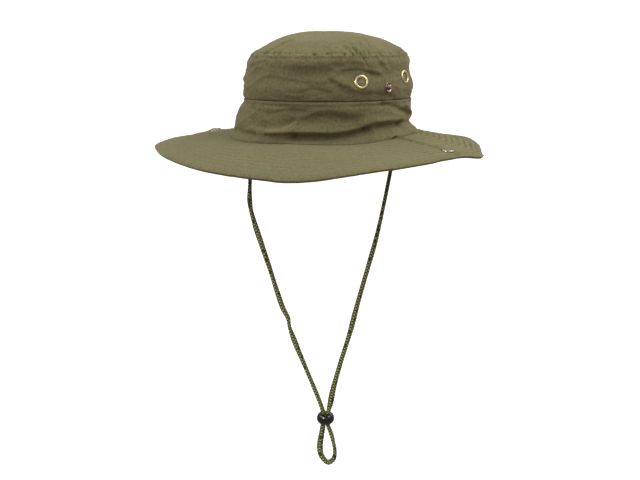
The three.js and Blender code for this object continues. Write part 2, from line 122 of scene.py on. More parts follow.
# Folds: push outwards, width above the path, width below it (mm), and the path as (azimuth, height in mm).
FOLDS = [
    # upper wall, front and left
    (0.7, 4.0, 5.0, [(-112, 75), (-70, 75.5), (-38, 75)]),
    (-0.9, 4.0, 8.0, [(-110, 73), (-104, 74), (-99, 71), (-92, 69.6), (-85, 68.4), (-78, 66.6), (-66, 66),
                      (-52, 66.4), (-42, 68.5), (-32, 70)]),
    (-1.2, 8.0, 6.0, [(-70, 61), (-57, 60), (-47, 60)]),
    (1.2, 5.0, 3.0, [(-98, 58.6), (-93, 61.2), (-85, 61.6), (-74, 59.4), (-65, 58), (-51, 57)]),
    (-1.2, 2.6, 6.0, [(-98, 56), (-93, 58.6), (-85, 59.2), (-74, 57), (-65, 55.6), (-51, 54.8)]),
    (1.4, 5.0, 2.4, [(-46, 60), (-41, 56.5), (-34, 51), (-29, 48.4), (-22, 46.4)]),
    (-1.3, 2.2, 6.0, [(-46, 57), (-40, 52), (-33, 47.5), (-18, 43.5), (-6, 43)]),
    (-1.6, 2.2, 5.0, [(-38, 65), (-34, 66), (-26, 65.6), (-18, 62.6), (-12, 60.5)]),
    (1.3, 2.6, 1.4, [(-38, 68), (-30, 68.4), (-20, 66), (-12, 63.6)]),
    (-1.0, 1.6, 3.5, [(-12, 71), (-8, 69.6), (-4, 69)]),
    (-1.6, 2.0, 5.0, [(-62, 48.5), (-55, 49.5), (-48, 47)]),
    (-1.4, 2.0, 3.0, [(-6, 44), (-3, 41), (0, 39)]),
    (1.2, 2.2, 2.2, [(-12, 78), (-4, 66)]),
    # upper wall, back and right
    (1.2, 4.5, 6.0, [(55, 76), (95, 77), (135, 76), (165, 75.5)]),
    (-2.6, 2.2, 6.5, [(60, 67), (95, 70), (130, 68), (150, 66)]),
    (1.3, 5.0, 2.0, [(75, 59), (100, 61), (125, 58)]),
    (-1.4, 1.8, 5.0, [(75, 56), (100, 59), (125, 55), (148, 51)]),
    (-2.2, 2.2, 5.0, [(214, 64), (226, 54), (243, 46)]),
    (1.4, 4.5, 2.0, [(212, 68), (228, 57), (246, 48)]),
    (-1.8, 3.0, 3.0, [(38, 66), (50, 54), (64, 46)]),
    (-2.2, 2.2, 4.5, [(176, 68), (192, 69.5), (206, 66)]),
    # lower band, front and left
    (-2.4, 1.0, 2.6, [(-84, 8.2), (-76, 9), (-66, 9.2)]),
    (-5.4, 1.3, 5.4, [(-66, 9), (-54, 9), (-43, 8.2), (-34, 8.8), (-27, 10.6), (-20, 13.4)]),
    (-4.0, 2.2, 4.8, [(-20, 13.4), (-15, 15.4), (-1, 14.8), (9, 13.8)]),
    (-3.0, 2.6, 4.4, [(9, 13.8), (22, 12.4), (40, 11.4), (52, 11)]),
    (2.8, 5.0, 1.8, [(-82, 9.6), (-74, 10.8), (-66, 11.8), (-54, 11.8), (-43, 11.2), (-34, 12), (-27, 14),
                     (-20, 17.2), (-15, 19), (-1, 18.4), (12, 16.6)]),
    (-3.2, 3.4, 14.0, [(-66, 20), (-58, 22.4), (-52, 25.6), (-47, 26.4), (-42, 25.8), (-36, 23.6),
                       (-31, 22)]),
    (0.9, 5.0, 3.0, [(-67, 24.5), (-58, 27.4), (-52, 30.6), (-47, 31.4), (-42, 30.6), (-36, 28)]),
    (-1.5, 2.0, 4.5, [(-112, 32.5), (-102, 30.4), (-95, 28.9), (-84, 28), (-77, 29.4), (-71, 30.8),
                      (-61, 30)]),
    (-0.6, 1.0, 2.0, [(-92, 34.8), (-82, 34.4), (-73, 34.2)]),
    (-2.8, 8.0, 2.0, [(-96, 16), (-88, 14), (-80, 14.2), (-74, 15.6), (-70, 18), (-67, 22)]),
    (1.3, 1.6, 5.0, [(-97, 13.4), (-88, 11.6), (-80, 12), (-72, 13.6), (-68, 16.5)]),
    (-2.2, 1.8, 4.4, [(-10, 34), (-4, 32.4), (3, 30), (11, 26.4), (25, 20.6)]),
    (1.6, 2.5, 2.0, [(15, 31), (22, 26.4), (33, 20.4)]),
    (-2.6, 2.0, 4.0, [(-122, 7.5), (-108, 7.8), (-94, 7)]),
    (3.4, 8.0, 4.0, [(20, 1), (45, 2), (75, 1)]),
    # lower band, back and right
    (-2.6, 3.0, 6.0, [(-166, 32), (-142, 33), (-124, 34)]),
    (-3.6, 1.6, 5.0, [(58, 10), (85, 8.5), (120, 8.5), (150, 13)]),
    (2.2, 6.0, 2.0, [(58, 13.4), (85, 11.8), (120, 12), (150, 16.6)]),
    (-2.2, 1.8, 6.0, [(70, 27), (95, 30), (125, 25)]),
    (-2.2, 2.0, 5.0, [(168, 27), (186, 19), (206, 12)]),
    (1.6, 5.0, 2.0, [(168, 30.4), (186, 22.4), (206, 15.4)]),
]
CREASE = 0.5 * MM  # how far the middle of a fold is rounded
CALM = 9.5 * MM  # radius round a fitting in which its clamp flattens the folds

STITCH_PITCH = 3.1 * MM
STITCH_RAISED = 0.05 * MM  # how far a stitch's middle stands over the cloth
SIDE_STITCHES = 3.4 * MM  # how far in front of the side seams their rows run
TOP_ROW, BASE_ROW = 1.6 * MM, 1.8 * MM  # how far the band's rows run from its upper and lower edges
CROWN_EDGE, BRIM_EDGE = 0.35 * MM, 0.8 * MM  # how far the cloth's edges are rounded
SEAT_PROUD, SOCKET_SUNK = 0.15 * MM, 0.2 * MM  # how metal sits: over the wall's face, and into the brim's
CROWN_COLUMNS, BRIM_COLUMNS, BRIM_RINGS = 620, 212, 104  # how finely the cloth is divided
STITCH = {"length": 2.3 * MM, "wide": 0.62 * MM, "tall": 0.34 * MM}

# ---------------------------------------------------------------- curves, steps and directions


def cubic(s, start, start_slope, end, end_slope):
    """A curve from start to end as s goes from 0 to 1, with the given slopes at its ends."""
    return (
        (2 * s**3 - 3 * s**2 + 1) * start
        + (s**3 - 2 * s**2 + s) * start_slope
        + (3 * s**2 - 2 * s**3) * end
        + (s**3 - s**2) * end_slope
    )


def smooth(keys, values, x):
    """A smooth curve through a table's rows: cubic pieces that share the slope at each row."""
    last = len(keys) - 1
    rows = np.arange(last + 1)
    before, after = np.maximum(rows - 1, 0), np.minimum(rows + 1, last)
    slope = (values[after] - values[before]) / (keys[after] - keys[before])
    row = np.clip(np.searchsorted(keys, x) - 1, 0, last - 1)
    span = keys[row + 1] - keys[row]
    s = (x - keys[row]) / span
    return cubic(s, values[row], span * slope[row], values[row + 1], span * slope[row + 1])


def ramp(x, start, end):
    """0 before start, 1 after end, and a soft step between them."""
    t = np.clip((x - start) / (end - start), 0, 1)
    return t * t * (3 - 2 * t)


def bell(away, width, power=2):
    """1 at no distance, falling softly to 0 past the given width."""
    return np.exp(-((away / width) ** power))


def mix(a, b, share):
    return a + (b - a) * share


def unit(vectors):
    return vectors / np.linalg.norm(vectors, axis=-1, keepdims=True)


def cosd(azimuth):
    return np.cos(np.radians(azimuth))


def sind(azimuth):
    return np.sin(np.radians(azimuth))


def direction(azimuth, raised):
    return np.array([cosd(azimuth) * cosd(raised), sind(azimuth) * cosd(raised), sind(raised)])


def turn_between(start, end):
    """The turn from one azimuth to another, from -180 to 180 degrees."""
    return np.mod(end - start + 180, 360) - 180


def around(azimuth, places):
    """The sum of amounts that each fall softly to 0 on both sides of a place: (azimuth, spread, amount)."""
    return sum(amount * bell(turn_between(towards, azimuth), spread) for towards, spread, amount in places)


def outwards(azimuth):
    """The level direction out of the head opening's oval."""
    return unit(np.stack([cosd(azimuth) / HALF_WIDE, sind(azimuth) / HALF_LONG, 0 * azimuth], axis=-1))


def out_by(azimuth, distance):
    return outwards(azimuth) * distance[..., None]


def crown_at(column, level):
    return smooth(CROWN_LEVELS, column, np.clip(level, CROWN_LEVELS[0], CROWN_LEVELS[-1]))


def brim_at(column, azimuth):
    """A column of the brim's table, read round its loop."""
    loop = np.arange(-1, len(column) + 2)
    return smooth(loop * float(BRIM_STEP), column[loop % len(column)], np.mod(azimuth, 360))


def base_at(column, azimuth):
    """A column of the flared base's table, read round its loop."""
    first = BASE_AZIMUTHS[0]
    keys = np.concatenate([BASE_AZIMUTHS[-1:] - 360, BASE_AZIMUTHS, BASE_AZIMUTHS[:2] + 360])
    values = np.concatenate([column[-1:], column, column[:2]])
    return smooth(keys, values, np.mod(azimuth - first, 360) + first) * MM


def seam_height(seam, azimuth):
    level, raised, sag, highest = SEAMS[seam]
    height = level + raised + sag * cosd(azimuth - highest)
    return height + base_at(BASE_HEIGHTS, azimuth) if seam == "brim" else height


# ---------------------------------------------------------------- folds


def over_wall(azimuth, height, from_azimuth, from_height):
    """Distance over the wall from one place to others, as (along, up)."""
    return np.radians(turn_between(from_azimuth, azimuth)) * WALL_RADIUS, height - from_height


def beside_line(path, x, y):
    """(distance from a path of points, and 1 to its left, 0 to its right, or between past its ends)."""
    nearest = np.full(np.shape(x), np.inf)
    left = np.zeros(np.shape(x))
    for (start_x, start_y), (end_x, end_y) in zip(path, path[1:]):
        span_x, span_y = end_x - start_x, end_y - start_y
        share = np.clip(((x - start_x) * span_x + (y - start_y) * span_y) / (span_x**2 + span_y**2), 0, 1)
        off_x, off_y = x - start_x - share * span_x, y - start_y - share * span_y
        away = np.hypot(off_x, off_y)
        closer = away < nearest
        nearest = np.where(closer, away, nearest)
        turn = (span_x * off_y - span_y * off_x) / (math.hypot(span_x, span_y) * away + 1e-12)
        left = np.where(closer, 0.5 + 0.5 * turn, left)
    return nearest, left


def beside_path(path, azimuth, height):
    """(distance from a path over the wall, and 1 above it, 0 below it)."""
    first = path[0][0]
    flat = [over_wall(a, h * MM, first, 0.0) for a, h in path]
    middle = np.degrees(flat[-1][0] / WALL_RADIUS) / 2
    turned = turn_between(first + middle, azimuth) + middle
    return beside_line(flat, np.radians(turned) * WALL_RADIUS, height)


def folds_push(folds, beside):
    """How far a table's folds push the cloth out. beside gives the distance from a path, and its side."""
    push = 0.0
    for size, wide_left, wide_right, path in folds:
        away, left = beside(path)
        width = mix(wide_right, wide_left, left) * MM
        push = push + size * MM * bell(np.hypot(away, CREASE) - CREASE, width, 1.5)
    return push


def wall_push(azimuth, height):
    return folds_push(FOLDS, lambda path: beside_path(path, azimuth, height))


def tip_push(x, y):
    return folds_push(TIP_FOLDS, lambda path: beside_line([(a * MM, b * MM) for a, b in path], x, y))


WALL_SEATS = []  # azimuth, height and tilt of each fitting on the wall, filled in once they are seated


def by_fittings(azimuth, height):
    """For each fitting, its tilt, the distance along the wall from it, and 1 beside it, falling to 0."""
    for seat_azimuth, seat_height, tilt in WALL_SEATS:
        along, up = over_wall(azimuth, height, seat_azimuth, seat_height)
        yield tilt, along, bell(np.hypot(along, up), CALM, 4)


def tilt_push(azimuth, height):
    """How the cloth under a turned fitting follows it."""
    fittings = by_fittings(azimuth, height)
    return -sum(math.tan(math.radians(tilt)) * along * near for tilt, along, near in fittings)


def calm_at(azimuth, height):
    """1 on free cloth, falling to 0 where metal clamps it."""
    return math.prod(1 - near for _, _, near in by_fittings(azimuth, height))


# ---------------------------------------------------------------- soft noise and wrinkles

RANDOM = np.random.default_rng(11)
SHUFFLE = RANDOM.permutation(256)
SLOPES = unit(RANDOM.normal(size=(256, 3)))


def soft_noise(points):
    """Smooth random values, mostly within 0.7 of 0, with one hill or hollow to each unit of space."""
    cell = np.floor(points).astype(int)
    inside = points - cell
    weight = inside**3 * (inside * (inside * 6 - 15) + 10)
    total = 0.0
    for corner in itertools.product((0, 1), repeat=3):
        x, y, z = np.moveaxis(cell + corner, -1, 0)
        slope = SLOPES[SHUFFLE[(SHUFFLE[(SHUFFLE[x % 256] + y) % 256] + z) % 256]]
        share = np.prod(np.where(corner, weight, 1 - weight), axis=-1)
        total = total + share * np.sum(slope * (inside - corner), axis=-1)
    return total * 1.4


def crested(points):
    """Soft noise folded into sharp crests, mostly from -0.9 to 0.5."""
    return 0.5 - 2 * np.abs(soft_noise(points))


def rumple(azimuth, height, across, up, seed):
    """Soft random wrinkles of about the given sizes along and up the wall."""
    x = WALL_RADIUS * cosd(azimuth) / across
    y = WALL_RADIUS * sind(azimuth) / across
    return soft_noise(np.stack(np.broadcast_arrays(x + seed, y, height / up + seed), axis=-1))


def creases(azimuth, height, across, up, seed):
    """Random wrinkles with sharp crests, from about -1 to 0.5, bent so that they wander."""
    bend = rumple(azimuth, height, across * 1.4, up * 2.2, seed + 40) * 0.9
    return 0.5 - 2.2 * np.abs(rumple(azimuth, height + bend * up, across, up, seed))


def pleats(azimuth, spacing, seed):
    """The uneven little pleats that a gathered seam makes, from 0 to 1."""
    level = 0 * azimuth
    bend = rumple(azimuth, level, 3.2 * spacing, 1.0, seed + 7.3)
    ridge = 1 - np.abs(rumple(azimuth, level + bend * 0.4, spacing, 1.0, seed)) * 3.0
    strength = 0.3 + 0.7 * ramp(rumple(azimuth, level, 5 * spacing, 1.0, seed + 3.1), -0.3, 0.4)
    return np.clip(ridge, 0, 1) ** 1.4 * strength


# The gathers of each seam: how deep its pleats are, their spacing (mm), seed.
GATHERS = {"side": (0.6, 8.0, 23.0), "band": (0.5, 6.6, 41.0), "brim": (0.45, 9.0, 47.0)}


def gathers(cloth, azimuth):
    """How far the pleats of a gathered seam move its cloth, to both sides of where it lies."""
    depth, spacing, seed = GATHERS[cloth]
    return depth * MM * (pleats(azimuth, spacing * MM, seed) - 0.4)


# The wall's wrinkles, all smaller than its folds: kind, depth, size along and up the wall (mm), seed.
WALL_WRINKLES = [
    (rumple, 0.9, 36, 14, 0),
    (creases, 0.8, 30, 11.5, 3),
    (creases, 0.24, 13, 6.5, 6),
    (rumple, 0.08, 4.5, 3.5, 9),
]


def wall_wrinkles(azimuth, height, seed):
    return MM * sum(
        depth * kind(azimuth, height, across * MM, up * MM, seed + more)
        for kind, depth, across, up, more in WALL_WRINKLES
    )


# The wrinkles of the top and of the brim, seen from above: kind, depth, size (mm), seed.
TIP_WRINKLES = [(soft_noise, 1.1, 34, 3), (crested, 0.7, 26, 9), (crested, 0.25, 11, 15)]
BRIM_WRINKLES = [(soft_noise, 0.9, 42, 5), (crested, 0.35, 24, 12), (soft_noise, 0.16, 6, 23)]


def plan_wrinkles(wrinkles, points):
    flat = points * np.array([1, 1, 0])
    return MM * sum(depth * kind(flat / (size * MM) + seed) for kind, depth, size, seed in wrinkles)


# ---------------------------------------------------------------- the crown's surfaces

BAND_TALL = SEAMS["middle"][0] - SEAMS["brim"][0]
SIDE_TALL = SEAMS["top"][0] - SEAMS["middle"][0]
DOME_RADIUS = CROWN_GIRTHS[-1] * WALL_RADIUS
SIDE_TUCK = 1.45 * MM  # how far the upper wall's lower edge is set back behind the band
SIDE_START, SIDE_ROLL = -0.045, 0.035  # shares of the upper wall where it ends, and begins to roll in
SEAM_CALM, SIDE_FOOT_CALM = 3 * MM, 2.5 * MM  # how far from a seam, and from the side's foot, wrinkles start
GATHER_REACH, BAND_GATHER_REACH = 5 * MM, 4 * MM
BASE_CLEAR, TOP_CLEAR = 0.03 * MM, 0.1 * MM  # how far the band's edges keep off the cloths beside them

# Welts beside the seams, and grooves where the first number is below 0: how far each stands out, how far
# its middle is from the seam, and its half width (mm).
GROOVE = (-1.0, 0, 1.1)  # where two cloths are sewn edge to edge
SIDE_SWELL = (0.6, 2.0, 1.0)  # below the top seam
LIP, LIP_HOLLOW = (0.85, 1.1, 1.5), (-0.3, 4.2, 1.3)  # the band's thick upper edge, and below it
LIP_THINNER = [(LEAN_TOWARDS, 40, 0.5 * MM)]  # where that edge is thinner: azimuth, spread, how much
SLIT_TURN, SLIT_WIDE = 2.2, 3.4  # degrees from the side seams to where the seam gapes, and how far it does
SLIT_RISE, SLIT_SINK = (1.5, 0, 1.5), (-1.7, -1.0, 2.2)  # how the band rises there, and the brim sinks
SEAM_DIP = (-0.55, 0.6, 1.0)  # how the crown's seam draws the brim down


def welt(shape, away, less=0.0):
    """How far a welt stands out at a distance from its seam. less is how much thinner it is."""
    out, middle, wide = shape
    return (out * MM - less) * bell(away - middle * MM, wide * MM)


def wall_base(lower, upper, azimuth, share):
    """The crown's outer face before its folds, and the real height there."""
    level = mix(SEAMS[lower][0], SEAMS[upper][0], share)
    height = mix(seam_height(lower, azimuth), seam_height(upper, azimuth), share)
    girth, lean = crown_at(CROWN_GIRTHS, level), crown_at(CROWN_LEANS, level)
    oval = np.stack([
        HALF_WIDE * girth * cosd(azimuth) + lean * cosd(LEAN_TOWARDS),
        HALF_LONG * girth * sind(azimuth) + lean * sind(LEAN_TOWARDS),
        height,
    ], axis=-1)
    return oval + out_by(azimuth, base_at(BASE_FLARES, azimuth) * bell(level, FLARE_TALL, 1.5)), height


def wall_face(lower, upper, azimuth, share, detail):
    """(outer, inner) faces of a crown wall. detail is what its seams and wrinkles add to the folds."""
    base, height = wall_base(lower, upper, azimuth, share)
    sewn_down = ramp(height - seam_height("brim", azimuth), -1 * MM, 4 * MM)
    push = (wall_push(azimuth, height) * sewn_down + detail) * calm_at(azimuth, height)
    outer = base + out_by(azimuth, push + tilt_push(azimuth, height))
    return outer, outer - outwards(azimuth) * CLOTH


# Puckers of the top seam: azimuth, depth, half width, reach over the top, reach down the wall (mm), and lean.
PUCKERS = [
    (-99, 1.9, 1.4, 5.5, 4.1, -0.5), (-92, 1.5, 1.2, 3.3, 5.4, 0.4), (-86, 2.1, 1.2, 4.4, 4.7, -0.3),
    (-77, 0.9, 1.2, 2.8, 3.4, 0.2), (-58.5, 2.8, 1.4, 2.2, 6.8, 0.5), (-50, 0.9, 1.2, 2.2, 4.1, -0.3),
    (-37.5, 2.7, 1.2, 1.7, 4.9, -0.3), (-31, 2.8, 1.1, 3.9, 5.4, -0.5), (-28, 2.5, 0.9, 5.0, 4.1, 0.2),
    (-25.2, 3.4, 1.2, 3.3, 8.1, 0.4), (-22, 2.7, 1.1, 5.5, 5.4, -0.2), (-18.5, 1.7, 1.1, 2.2, 3.4, 0.3),
    (-9, 1.1, 1.2, 2.2, 4.1, 0.2), (2, 1.3, 1.4, 3.3, 4.1, -0.2), (16, 1.7, 1.4, 3.9, 4.7, 0.3),
    (37, 2.3, 1.4, 4.4, 6.8, 0.2), (52, 1.7, 1.2, 3.3, 4.1, -0.4), (71, 2.7, 1.4, 3.3, 6.8, 0.5),
    (76, 2.3, 1.2, 5.0, 4.7, -0.3), (98, 1.5, 1.4, 3.3, 5.4, 0.2), (117, 2.7, 1.4, 4.4, 7.4, 0.4),
    (122, 1.9, 1.2, 2.8, 4.1, -0.4), (139, 1.3, 1.2, 3.3, 4.1, 0.3), (158, 2.5, 1.4, 5.0, 6.1, -0.4),
    (163, 2.1, 1.2, 3.3, 4.7, 0.3), (184, 1.5, 1.4, 3.3, 5.4, -0.2), (203, 2.5, 1.4, 3.9, 6.8, 0.4),
    (221, 1.7, 1.4, 4.4, 4.1, -0.3), (236, 2.1, 1.4, 3.3, 5.4, 0.3),
]


# Gathers of the top seam: how deep its pleats are, their spacing (mm), seed.
TOP_GATHERS = [(1.3, 6.2, 11.0), (1.0, 13, 61.0)]
TOP_GATHERS_SUNK = 0.8  # how far they are drawn in, mm
TOP_GATHERS_REACH = 6 * MM
TOP_GATHERS_RAISED = 0.9  # how far up they push, for each step out


def top_gather(azimuth, from_seam, on_top):
    """How the gathers and puckers of the top seam move the top's cloth, or the wall's, as a vector."""
    size = sum(depth * pleats(azimuth, spacing * MM, seed) for depth, spacing, seed in TOP_GATHERS)
    size = (size - TOP_GATHERS_SUNK) * bell(from_seam, TOP_GATHERS_REACH, 1.5)
    for towards, depth, half_width, over_top, down_wall, lean in PUCKERS:
        along, _ = over_wall(azimuth, 0.0, towards, 0.0)
        across = (along - lean * from_seam) / (half_width * MM)
        reach = (over_top if on_top else down_wall) * MM
        size = size - depth * np.exp(-(across**2) - (from_seam / reach) ** 2)
    return unit(outwards(azimuth) + np.array([0, 0, TOP_GATHERS_RAISED])) * (size * MM)[..., None]


def slit_near(azimuth):
    """1 at the two places where the seam gapes beside the brim's side seams, falling to 0 round them."""
    return bell(np.mod(azimuth + SLIT_TURN + 90, 180) - 90, SLIT_WIDE)


def side_face(u, v):
    azimuth, share = 360 * u, mix(SIDE_START, 1.0, v)
    up, below_top = share * SIDE_TALL, (1 - share) * SIDE_TALL
    detail = (
        wall_wrinkles(azimuth, up, 1.0) * ramp(below_top, 0, SEAM_CALM) * ramp(up, 0, SIDE_FOOT_CALM)
        + gathers("side", azimuth) * bell(up, GATHER_REACH)
        + welt(GROOVE, below_top)
        + welt(SIDE_SWELL, below_top)
    )
    outer, inner = wall_face("middle", "top", azimuth, share, detail)
    tuck = SIDE_TUCK * (1 - ramp(share, 0.0, SIDE_ROLL))
    shift = top_gather(azimuth, below_top, False) - out_by(azimuth, tuck)
    return outer + shift, inner + shift


def band_face(u, v):
    azimuth, share = 360 * u, v
    up, below_top = share * BAND_TALL, (1 - share) * BAND_TALL
    detail = (
        wall_wrinkles(azimuth, up, 31.0) * ramp(below_top, 0, SEAM_CALM) * ramp(up, 0, SEAM_CALM)
        + gathers("band", azimuth) * bell(below_top - BAND_GATHER_REACH, BAND_GATHER_REACH)
        + welt(LIP, below_top, around(azimuth, LIP_THINNER))
        + welt(LIP_HOLLOW, below_top)
    )
    outer, inner = wall_face("brim", "middle", azimuth, share, detail)
    lift = (gathers("brim", azimuth) + BASE_CLEAR) * bell(up, GATHER_REACH) - TOP_CLEAR * share
    lift = lift + welt(SLIT_RISE, up) * slit_near(azimuth)
    for face in (outer, inner):
        face[..., 2] += lift
    return outer, inner


# Folds of the top: push, width left of the path, width right of it (mm), and the path in plan (mm).
TIP_FOLDS = [
    (-1.7, 1.6, 1.8, [(-4, -77), (-1.4, -69), (0, -62), (4, -53)]),
    (1.0, 3.0, 6.0, [(-9, -74), (-6, -66), (-4, -58)]),
    (-1.4, 1.2, 1.6, [(56, -37), (66, -40)]),
    (-1.5, 1.2, 1.4, [(59, -30), (69, -33)]),
    (-1.5, 1.4, 1.4, [(62, -23), (72, -27)]),
    (-2.1, 3.0, 1.3, [(50, 0), (56, -5), (64, -11), (73, -17)]),
    (-1.3, 1.6, 2.4, [(58, -18), (70, -22)]),
    (-1.1, 2.0, 1.4, [(54, -28), (66, -34)]),
    (0.8, 4.0, 2.0, [(40, -40), (52, -58)]),
    (-0.8, 2.0, 3.0, [(10, -66), (12, -76)]),
    (-0.9, 2.0, 4.0, [(-40, -30), (-56, -44)]),
    (0.9, 5.0, 2.0, [(-30, 40), (-46, 62)]),
    (-1.0, 2.0, 4.0, [(24, 62), (30, 84)]),
    (0.8, 4.0, 2.0, [(52, 36), (68, 46)]),
    (0.9, 14.0, 14.0, [(-24, -4), (-14, -16)]),
    (0.4, 9.0, 7.0, [(40, 52), (56, 22)]),
]


def dome_at(azimuth, share):
    """The oval top before its folds, and its outward directions. share is 0 at its middle, 1 at its rim."""
    rim, _ = wall_base("middle", "top", azimuth, 1 + 0 * azimuth)
    level, raised, _, _ = SEAMS["top"]
    middle = np.array([DOME_LEAN * cosd(LEAN_TOWARDS), DOME_LEAN * sind(LEAN_TOWARDS), level + raised])
    dome = mix(middle, rim, share[..., None])
    dome[..., 2] += DOME_RISE * (1 - share**DOME_FULLNESS)
    normal = out_by(azimuth, DOME_RISE * DOME_FULLNESS * share ** (DOME_FULLNESS - 1) / DOME_RADIUS)
    normal[..., 2] = 1
    return dome, unit(normal)


def tip_face(u, v):
    """The oval top: v is 0 at its middle and 1 at the top seam, with closer rings near the seam."""
    azimuth, share = 360 * u, mix(v, np.sin(v * math.pi / 2), TIP_CROWDING)
    dome, normal = dome_at(azimuth, share)
    from_rim = (1 - share) * DOME_RADIUS
    detail = (
        plan_wrinkles(TIP_WRINKLES, dome) * ramp(from_rim, 0, 5 * MM)
        + tip_push(dome[..., 0], dome[..., 1])
        + welt(GROOVE, from_rim)
    ) * ramp(v, 0.0, 0.08)
    outer = dome + normal * detail[..., None] + top_gather(azimuth, from_rim, True)
    inward = -unit(mix(normal, outwards(azimuth), ramp(share, 0.96, 1.0)[..., None]))
    return outer, outer + inward * CLOTH


# ---------------------------------------------------------------- the brim's surfaces

ROW_COUNT, ROW_FIRST, ROW_PITCH = 10, 6.0 * MM, 7.0 * MM  # its rows of stitching, from the edge inwards
QUILT, QUILT_ROUND = 0.12 * MM, 0.55  # how far the cloth puffs up between the rows, and how roundly
# PUFFED also sets where the crests' painted light is stronger
PUFFED = [(24, 30, 2.1), (212, 26, 0.7)]  # where it puffs up more: azimuth, spread, how much (mm)
# Painted light on its crests, standing in for the light that the puffs catch: how much paler the crests are
# painted, how much more where they puff up, and the share where they start.
CREST_LIGHT, CREST_LIGHT_MORE, CREST_LIGHT_ABOVE = 0.1, 0.6, 0.7
EDGE_ROLL = (-1.0, 0, 1.9)  # how the edge curls down, as a welt beside it
EDGE_INSET = 1.9 * MM  # how far the lower cloth stops short of the upper one
BRIM_LIP = 3.4 * MM  # how far the brim reaches in under the crown's band
BRIM_LIP_RISE, BRIM_LIP_TURN = 1.6 * MM, (1.7 * MM, 2.7 * MM)  # how far it turns up, from where to where
BRIM_GATHER_REACH = 1 / 9  # as a share of the brim
# The side seams, mm: the turned edge's ridge, where it rises and falls in front of them, and their dip.
RIDGE, RIDGE_AT_EDGE, RIDGE_RISE, RIDGE_FALL = 1.5, 0.8, (0.5, 1.6), (5.4, 6.4)
SIDE_DIP, SIDE_DIP_WIDE = 1.6, 1.2


def brim_upper(azimuth, distance):
    """The brim's upper face before its stitching: distance is 0 at the crown and 1 at the edge."""
    seam, _ = wall_base("brim", "middle", azimuth, 0 * azimuth)
    reach = brim_at(BRIM_REACHES, azimuth)
    wide, long = (HALF_WIDE + reach) * cosd(azimuth), (HALF_LONG + reach) * sind(azimuth)
    edge = np.stack([wide, long, 0 * reach], axis=-1)
    out = np.clip(distance, 0, 1)
    under = np.minimum(distance, 0) * reach
    point = mix(seam, edge, out[..., None]) + out_by(azimuth, under)
    point[..., 2] += brim_at(BRIM_HEIGHTS, azimuth) * out ** (BRIM_DROOP - around(azimuth, STRAIGHTER))
    point[..., 2] += BRIM_LIP_RISE * ramp(-under, *BRIM_LIP_TURN)
    return point


def brim_puffs(azimuth, distance):
    """(how far the cloth puffs up between the rows, how much paler its crests are painted as painted light).
    """
    from_edge = (1 - distance) * brim_at(BRIM_REACHES, azimuth)
    rows = np.abs(np.sin(math.pi * (from_edge - ROW_FIRST) / ROW_PITCH)) ** QUILT_ROUND
    more = around(azimuth, PUFFED)
    puff = (QUILT + more * MM) * rows * ramp(from_edge, 2 * MM, ROW_FIRST) * ramp(distance, 0.04, 0.1)
    crests = (rows - CREST_LIGHT_ABOVE) * ramp(from_edge, 0.5 * MM, ROW_FIRST) * ramp(distance, 0.1, 0.4)
    return puff, (CREST_LIGHT + CREST_LIGHT_MORE * more) * crests


def side_seam_lift(y, distance, from_edge):
    """The ridge of the front half's turned edge, and the dip of the side seam beside it."""
    beside = np.abs(y) / MM
    ridge = mix(RIDGE, RIDGE_AT_EDGE, distance) * (y < 0)
    ridge = ridge * ramp(beside, *RIDGE_RISE) * (1 - ramp(beside, *RIDGE_FALL))
    dip = SIDE_DIP * bell(beside, SIDE_DIP_WIDE)
    return MM * (ridge - dip) * ramp(distance, 0, 0.03) * ramp(from_edge, 0.5 * MM, 5 * MM)


def crown_seam_lift(azimuth, distance):
    """How the seam with the crown gathers the brim and draws it down, most where the seam gapes."""
    out = distance * brim_at(BRIM_REACHES, azimuth)
    return (
        gathers("brim", azimuth) * bell(np.maximum(distance, 0), BRIM_GATHER_REACH, 1.5)
        + welt(SEAM_DIP, out)
        + welt(SLIT_SINK, out) * slit_near(azimuth)
    )


def brim_face(azimuth, distance):
    """(upper, lower) faces of the brim, puffed between its rows of stitching."""
    upper = brim_upper(azimuth, distance)
    from_edge = (1 - distance) * brim_at(BRIM_REACHES, azimuth)
    puff, _ = brim_puffs(azimuth, distance)
    lift = (
        plan_wrinkles(BRIM_WRINKLES, upper) * ramp(distance, 0.0, 0.25)
        + side_seam_lift(upper[..., 1], distance, from_edge)
        + crown_seam_lift(azimuth, distance)
        + welt(EDGE_ROLL, from_edge)
    )
    lower = upper - out_by(azimuth, EDGE_INSET * (1 - ramp(from_edge, 0, 6 * MM)))
    upper[..., 2] += lift + puff
    lower[..., 2] += lift - puff - BRIM_CLOTH
    return upper, lower


# ---------------------------------------------------------------- making meshes


def mesh_of(name, bm):
    mesh = bpy.data.meshes.new(name)
    bm.to_mesh(mesh)
    bm.free()
    return mesh


def add_object(name, data):
    made = bpy.data.objects.new(name, data)
    bpy.context.scene.collection.objects.link(made)
    return made


def add_shape(name, mesh, material):
    mesh.shade_smooth()
    mesh.materials.append(material)
    return add_object(name, mesh)


def finish_piece(name, mesh, material, replaces=()):
    piece = add_shape(name, mesh, material)
    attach(piece, "root")
    if replaces:
        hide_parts(*replaces)
    return piece


def soften_edges(piece, width):
    """Rounds the edges that cloth_wall marked."""
    bevel = piece.modifiers.new("edges", "BEVEL")
    bevel.width = width
    bevel.segments = 2
    bevel.limit_method = "WEIGHT"


def rounded(name, bm, material, node, levels=2):
    """A finished piece, rounded off by a subdivision surface."""
    piece = finish_piece(name, mesh_of(name, bm), material, [node])
    subsurf = piece.modifiers.new("smooth", "SUBSURF")
    subsurf.levels = subsurf.render_levels = levels
    return piece


def face_outwards(bm):
    bmesh.ops.recalc_face_normals(bm, faces=bm.faces[:])


def merge_doubles(bm):
    bmesh.ops.remove_doubles(bm, verts=bm.verts[:], dist=1e-6)


def cap_ends(bm):
    bmesh.ops.holes_fill(bm, edges=[e for e in bm.edges if e.is_boundary], sides=0)
    face_outwards(bm)


